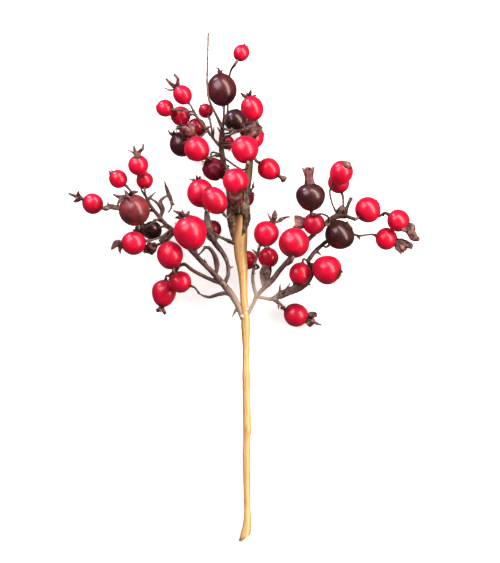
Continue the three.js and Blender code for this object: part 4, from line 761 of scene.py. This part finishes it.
def crownPiece(part, finish, base, way, look, rim, seed):  # copies of a part round the crown, turned outwards
    axis = way.normalized()
    side = axis.orthogonal().normalized()
    places, turned, stretch = [], [], []
    for n in range(look["count"]):
        turn = (n + 0.5 * chance(seed + n)) / look["count"] * 2 * math.pi
        out = Matrix.Rotation(turn, 3, axis) @ side
        lean = math.radians(look["leave"] + sepalLook["leanSpread"] * (chance(seed + 7 * n + 0.3) - 0.5))
        along = axis * math.cos(lean) + out * math.sin(lean)
        curl = out * math.cos(lean) - axis * math.sin(lean)
        pose = Matrix((along, curl.cross(along), curl)).transposed()
        places.append(base + out * rim)
        turned.append(tuple(pose.to_euler()))
        scatter = look.get("scatter", sepalLook["scatter"])
        stretch.append((1 + 2 * scatter * (chance(seed + 7 * n) - 0.5), 1, 1))
    ring = meshObject("crown", places, [], [], turned=turned, stretch=stretch)
    addTree(ring, trees["crown"], part=part, finish=finish)
    return settle(ring)


# pale, paleFrom, ridge, rounds, rootFade and tipFade set the painted highlight on the sepals' ridges
ownLook = {"spacing": 0.4, "sides": 12, "voxel": 0.2, "thinnest": 0.6, "relief": (0.0004, 0.0005),
           "grain": (360.0, -40.0), "ridge": (0.1, 0.06), "rounds": 20, "pale": (0.2, 0.75), "paleFrom": 2.4,
           "rootFade": 4, "tipFade": 2}  # in relief, grain and ridge the second goes with plumpness


def ownSepals(hip, base, seed):  # shrunk sepals with places of their own: crumpled, with a painted highlight on their ridges that is stronger where they are broad
    strands = []
    for route, widths, plump in (sepal.values() for sepal in hip["sepals"]):
        thick = [plump, plump * 0.9, max(ownLook["thinnest"], plump * 0.6)]
        strands.append(strand([list(base), *route], widths, thick))
    broadest = max(max(sepal["widths"]) for sepal in hip["sepals"])
    plumpest = max(sepal["plump"] for sepal in hip["sepals"])
    own = strandPiece("sepals", strands, ownLook["spacing"], ownLook["sides"], sepalBrown)
    fuse(own, ownLook["voxel"])
    relief, lumps, ridge = (ownLook[part][0] + ownLook[part][1] * plumpest
                             for part in ("relief", "grain", "ridge"))
    addTree(own, trees["bark"], relief=relief, grain=lumps, prickles=0.0, prickleLength=0.001, seed=seed,
            finish=sepalBrown)
    settle(own)
    reach = np.array([(point.co / mm - base).length for point in own.data.vertices])
    least, most = ownLook["pale"]
    pale = min(most, least + max(0, (broadest - ownLook["paleFrom"]) / 4))
    # painted highlight on the ridges of the sepals, fading at their root and tip
    ridgeHighlight = ridges(own, ridge, int(ownLook["rounds"] * plumpest))
    tipwards = np.clip((max(reach) - reach) / ownLook["tipFade"], 0.1, 1)
    storeOn(own, "paleness", ridgeHighlight * (pale * tipwards) * np.minimum(1, reach / ownLook["rootFade"]))
    return own


def ridges(piece, height, rounds):  # 1 where a point stands that many mm above those round it, 0 in a hollow
    count = len(piece.data.vertices)
    places, normals = np.empty(count * 3), np.empty(count * 3)
    piece.data.vertices.foreach_get("co", places)
    piece.data.vertices.foreach_get("normal", normals)
    ends = np.empty(len(piece.data.edges) * 2, int)
    piece.data.edges.foreach_get("vertices", ends)
    places, normals, ends = places.reshape(-1, 3) / mm, normals.reshape(-1, 3), ends.reshape(-1, 2)
    meets = np.bincount(ends.ravel(), minlength=count)[:, None]
    soft = places
    for _ in range(rounds):
        total = np.zeros_like(soft)
        np.add.at(total, ends[:, 0], soft[ends[:, 1]])
        np.add.at(total, ends[:, 1], soft[ends[:, 0]])
        soft = 0.5 * soft + 0.5 * total / np.maximum(meets, 1)
    return np.clip(((places - soft) * normals).sum(axis=1) / height, 0, 1)


ownSkins = {"hip left 5": "rust", "hip right 11": "red", "hip right 12": "red", "hip centre 19": "dull"}
foldDepths = {"hip left 13": 1.5, "hip centre 9": 1.1, "hip centre 12": 1.2, "hip centre 22": 0.7,
              "hip centre 19": 0.7}
shrivelLook = {"foldsPerMetre": 300.0, "sunk": 0.4, "ridge": 0.4, "rounds": 24}


def shrivel(piece, depth):  # a hip that dried out: its skin sinks into folds, with a painted highlight on their ridges
    moves = []
    for point in piece.data.vertices:
        fold = noise.noise(point.co * shrivelLook["foldsPerMetre"]) - shrivelLook["sunk"]
        moves.append(point.normal * fold * depth * mm)
    for point, move in zip(piece.data.vertices, moves):
        point.co += move
    # painted highlight on the ridges of the folds
    storeOn(piece, "paleness", ridges(piece, shrivelLook["ridge"], shrivelLook["rounds"]))


def hipPiece(name, hip, seed):
    look = crownLooks[hip["crown"]]
    way = aimed(hip["aim"])
    tip = hip["r"] * hip["long"] * math.cos(math.asin(hipLook["crownEnd"]))
    rim = hip["r"] * hipLook["crownEnd"]
    body = hipBody(hip, seed)
    parts = [body]
    if name in foldDepths:
        shrivel(body, foldDepths[name])
        body.data.materials[0] = shrunkenSkin
    if name in ownSkins:
        body.data.materials[0] = skins[ownSkins[name]]
    if "wide" in look:
        parts.append(cupBody(look, tip, seed))
    for part in parts:
        part.data.transform(hipPlacement(hip, seed))
    crown = Vector(hip["at"]) + way * tip
    if "neck" in look:
        ends = (neckLook["from"], look["neck"], look["neck"] + neckLook["past"])
        line = strand([list(crown + way * ahead) for ahead in ends], neckLook["widths"])
        parts.append(settle(strandPiece("neck", [line], neckLook["spacing"], neckLook["sides"], sepalBrown)))
        crown += way * look["neck"]
    root = crown - way * sepalLook["into"]
    if "count" in look:
        part = sepalParts[hip["crown"]]
        parts.append(crownPiece(part, sepalBrown, root, way, look, rim * sepalLook["rim"], seed))
    if hip["sepals"]:
        parts.append(ownSepals(hip, root, seed))
    if "wide" not in look or hip["crown"] == "mouth":
        root, inner = crown - way * stamenLook["into"], rim * stamenLook["rim"]
        parts.append(crownPiece(stamenPart, stamenStraw, root, way, stamenLook, inner, seed + 50))
    whole = joinPieces(name, parts)
    if hip["rests"]:  # the sprig's weight presses it flat where it meets the table
        lowest = min(point.co.z for point in body.data.vertices)
        whole.data.transform(Matrix.Translation((0, 0, -lowest - hipLook["pressed"] * mm)))
        for point in whole.data.vertices:
            point.co.z = max(point.co.z, 0)
    return whole


slots = {"red": "red_hip", "deep": "deep_red_hip", "maroon": "maroon_hip", "black": "black_hip"}
finished = []
for side, spray in sprays.items():
    finished.append((twigPiece("twig " + side, spray), "twig_" + side, "twig_bark"))
    for n, look in enumerate(spray["hips"]):
        node = "hip_" + side + "_" + str(n + 1).zfill(2)
        piece = hipPiece("hip " + side + " " + str(n + 1), look, spray["seed"] + n)
        finished.append((piece, node, slots[look["skin"]]))
    print("hips of the", side, "spray:", len(spray["hips"]))

# Stem

stemLine = [
    [0.6, -153.5, 4.6], [2.4, -143, 4.9], [2.5, -132, 5.6], [2.1, -108, 7.2], [2.4, -80, 9.6], [1.9, -55, 12],
    [1.8, -34, 14.2], [1.5, -17.5, 16.5], [0.5, -5, 18.2], [0.2, 3, 19.2], [-0.4, 12, 20.3], [-1.6, 23, 21.6],
    [-1.2, 33, 22.6], [-0.6, 44, 23.4], [0.8, 56, 24.4], [3, 68, 25.6], [4, 77, 26.6],
]
stemWidths = [
    6.6, 5, 3.8, 4.1, 4.2, 4.2, 4.3, 4.7, 4.7, 4.3, 4.7, 3.9, 4.2, 5.6, 4.6, 4.2, 5.2, 7, 8.2, 7.4, 7, 6, 5.2,
    4.2,
]
stemLook = {"sides": 44, "spacing": 0.45, "cutAngle": 38, "cutAt": (1.44, -151.3, 5), "ridge": 0.07,
            "knots": [(15, -86, 0.55), (175, -100, 0.45), (150, -60, 0.3), (20, -36, 0.35), (165, -128, 0.3)],
            "knotLong": 1.6, "knotWide": 0.6, "topStain": (36, 26), "heelStain": (-149.5, 3, 0.7),
            "sap": [((2.3, -12.6, 18.9), 1.1), ((-0.2, -16.6, 18.2), 1.3), ((1.4, -14.8, 18.9), 0.8)]}


def stemPiece():
    line = [strand(stemLine, stemWidths)]
    piece = settle(strandPiece("stem", line, stemLook["spacing"], stemLook["sides"], strawWood))
    line = smoothLine(stemLine, 400)
    places = np.array([point.co for point in piece.data.vertices]) / mm
    middle = np.stack([np.interp(places[:, 1], line[:, 1], line[:, k]) for k in (0, 2)], axis=1)
    out = places[:, [0, 2]] - middle
    radius = np.maximum(np.linalg.norm(out, axis=1), 0.5)
    turn = np.arctan2(out[:, 1], out[:, 0])
    fine = np.sin(7 * turn + places[:, 1] * 0.03) + 0.6 * np.sin(13 * turn - places[:, 1] * 0.02)
    rise = stemLook["ridge"] * fine
    for side, at, height in stemLook["knots"]:
        beside = np.angle(np.exp(1j * (turn - math.radians(side))))
        along = (places[:, 1] - at) / stemLook["knotLong"]
        rise += height * np.exp(-along ** 2 - (beside / stemLook["knotWide"]) ** 2)
    across = out[:, 0] / radius
    start, over = stemLook["topStain"]
    topStain = np.clip((places[:, 1] - start) / over, 0, 1)
    start, over, most = stemLook["heelStain"]
    heelStain = np.clip((start - places[:, 1]) / over, 0, most) * (across < 0.2)  # left of its painted highlight band
    places[:, [0, 2]] += out / radius[:, None] * rise[:, None]
    storeOn(piece, "across", across)
    storeOn(piece, "stain", np.maximum(topStain, heelStain))
    piece.data.vertices.foreach_set("co", (places * mm).ravel())
    cutHeel(piece)
    drops = [sapDrop(place, size, k) for k, (place, size) in enumerate(stemLook["sap"])]
    return joinPieces("stem", [piece, *drops])


def cutHeel(piece):  # the foot of the stem is cut on the slant
    lean = math.radians(stemLook["cutAngle"])
    facing = (-math.sin(lean), math.cos(lean), 0)
    whole = bmesh.new()
    whole.from_mesh(piece.data)
    bmesh.ops.bisect_plane(whole, geom=whole.verts[:] + whole.edges[:] + whole.faces[:], clear_inner=True,
                           plane_co=Vector(stemLook["cutAt"]) * mm, plane_no=facing)
    bmesh.ops.holes_fill(whole, edges=[edge for edge in whole.edges if edge.is_boundary])
    whole.to_mesh(piece.data)
    whole.free()


sapLook = {"sides": 18, "rows": 9, "flat": 0.6}


def sapDrop(place, size, seed):  # a lump of sap that dried where the three twigs leave the stem
    turns = [math.pi * k / sapLook["rows"] for k in range(1, sapLook["rows"])]
    profile = [(size * math.sin(turn), -sapLook["flat"] * size * math.cos(turn)) for turn in turns]

    def warp(row, turn):
        return 1 + 0.14 * math.cos(2 * turn + seed) + 0.1 * math.sin(3 * turn + row)

    places, faces = latheShape(profile, sapLook["sides"], warp)
    drop = meshObject("sap", places, [], faces, driedSap)
    drop.data.transform(Matrix.Translation(Vector(place) * mm) @ Matrix.Rotation(math.radians(90), 4, "X"))
    return drop


stem = stemPiece()
finished.append((stem, "stem", "peeled_stem"))
print("stem", len(stem.data.polygons), "faces")

for part in [stamenPart, *sepalParts.values()]:
    bpy.data.objects.remove(part)

for piece, node, slot in finished:
    piece.name = piece.name.replace(" ", "_")
    for face in piece.data.polygons:
        face.use_smooth = True
    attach(piece, "root")
    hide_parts(node)

# Table, light and camera

roomLook = {"sheet": "#f6f5f4", "reach": 2500, "drop": -0.2, "sky": 0.13, "belowSheet": 0.55}
sheetFinish = newFinish("pale sheet lit from below", Base_Color=fromHex(roomLook["sheet"]), Roughness=0.8,
                        Emission_Color=(1, 1, 1, 1), Emission_Strength=roomLook["belowSheet"])[0]
corners = [(x * roomLook["reach"], y * roomLook["reach"], roomLook["drop"])
           for x, y in ((-1, -1), (1, -1), (1, 1), (-1, 1))]
table = meshObject("table", corners, [], [(0, 1, 2, 3)], sheetFinish)
table.visible_diffuse = False
table.visible_glossy = False

world = bpy.data.worlds.new("room")
world.use_nodes = True
world.node_tree.nodes["Background"].inputs["Color"].default_value = (1, 1, 1, 1)
world.node_tree.nodes["Background"].inputs["Strength"].default_value = roomLook["sky"]
bpy.context.scene.world = world
lightLooks = {
    "soft panel": {"at": (-0.62, 0.72, 0.85), "along": (0.7, 0.6, 0), "size": (0.85, 0.85), "watts": 16,
                   "colour": "#fff2f2"},
    "warm strip": {"at": (0.56, 0.42, 0.62), "along": (0.25, -0.95, -0.2), "size": (1.9, 0.3), "watts": 23,
                   "colour": "#fff0e0"},
    "blue window": {"at": (-0.7, 1.1, 0.1), "along": (1, 0, 0), "size": (0.34, 0.2), "watts": 9,
                    "colour": "#cfe0ff"},
}
for name, look in lightLooks.items():  # each panel faces the sprig, with its long side the given way
    light = bpy.data.lights.new(name, "AREA")
    light.shape = "RECTANGLE"
    light.size, light.size_y = look["size"]
    light.energy = look["watts"]
    light.color = fromHex(look["colour"])[:3]
    lamp = bpy.data.objects.new(name, light)
    facing = (Vector(look["at"]) - Vector((0, 0.05, 0))).normalized()
    along = Vector(look["along"])
    side = (along - facing * facing.dot(along)).normalized()
    turned = Matrix((side, facing.cross(side), facing)).transposed().to_4x4()
    lamp.matrix_world = Matrix.Translation(look["at"]) @ turned
    bpy.context.scene.collection.objects.link(lamp)

cameraLook = {"height": 2.5, "over": (4.2, 4.2), "tall": 337.8, "plane": 28.0, "sensor": 36}
camera = bpy.data.objects.new("camera", bpy.data.cameras.new("camera"))
camera.location = (cameraLook["over"][0] * mm, cameraLook["over"][1] * mm, cameraLook["height"])
away = cameraLook["height"] - cameraLook["plane"] * mm
camera.data.lens = cameraLook["sensor"] * away / (cameraLook["tall"] * mm)
bpy.context.scene.collection.objects.link(camera)
bpy.context.scene.camera = camera
bpy.context.scene.view_settings.view_transform = "Standard"
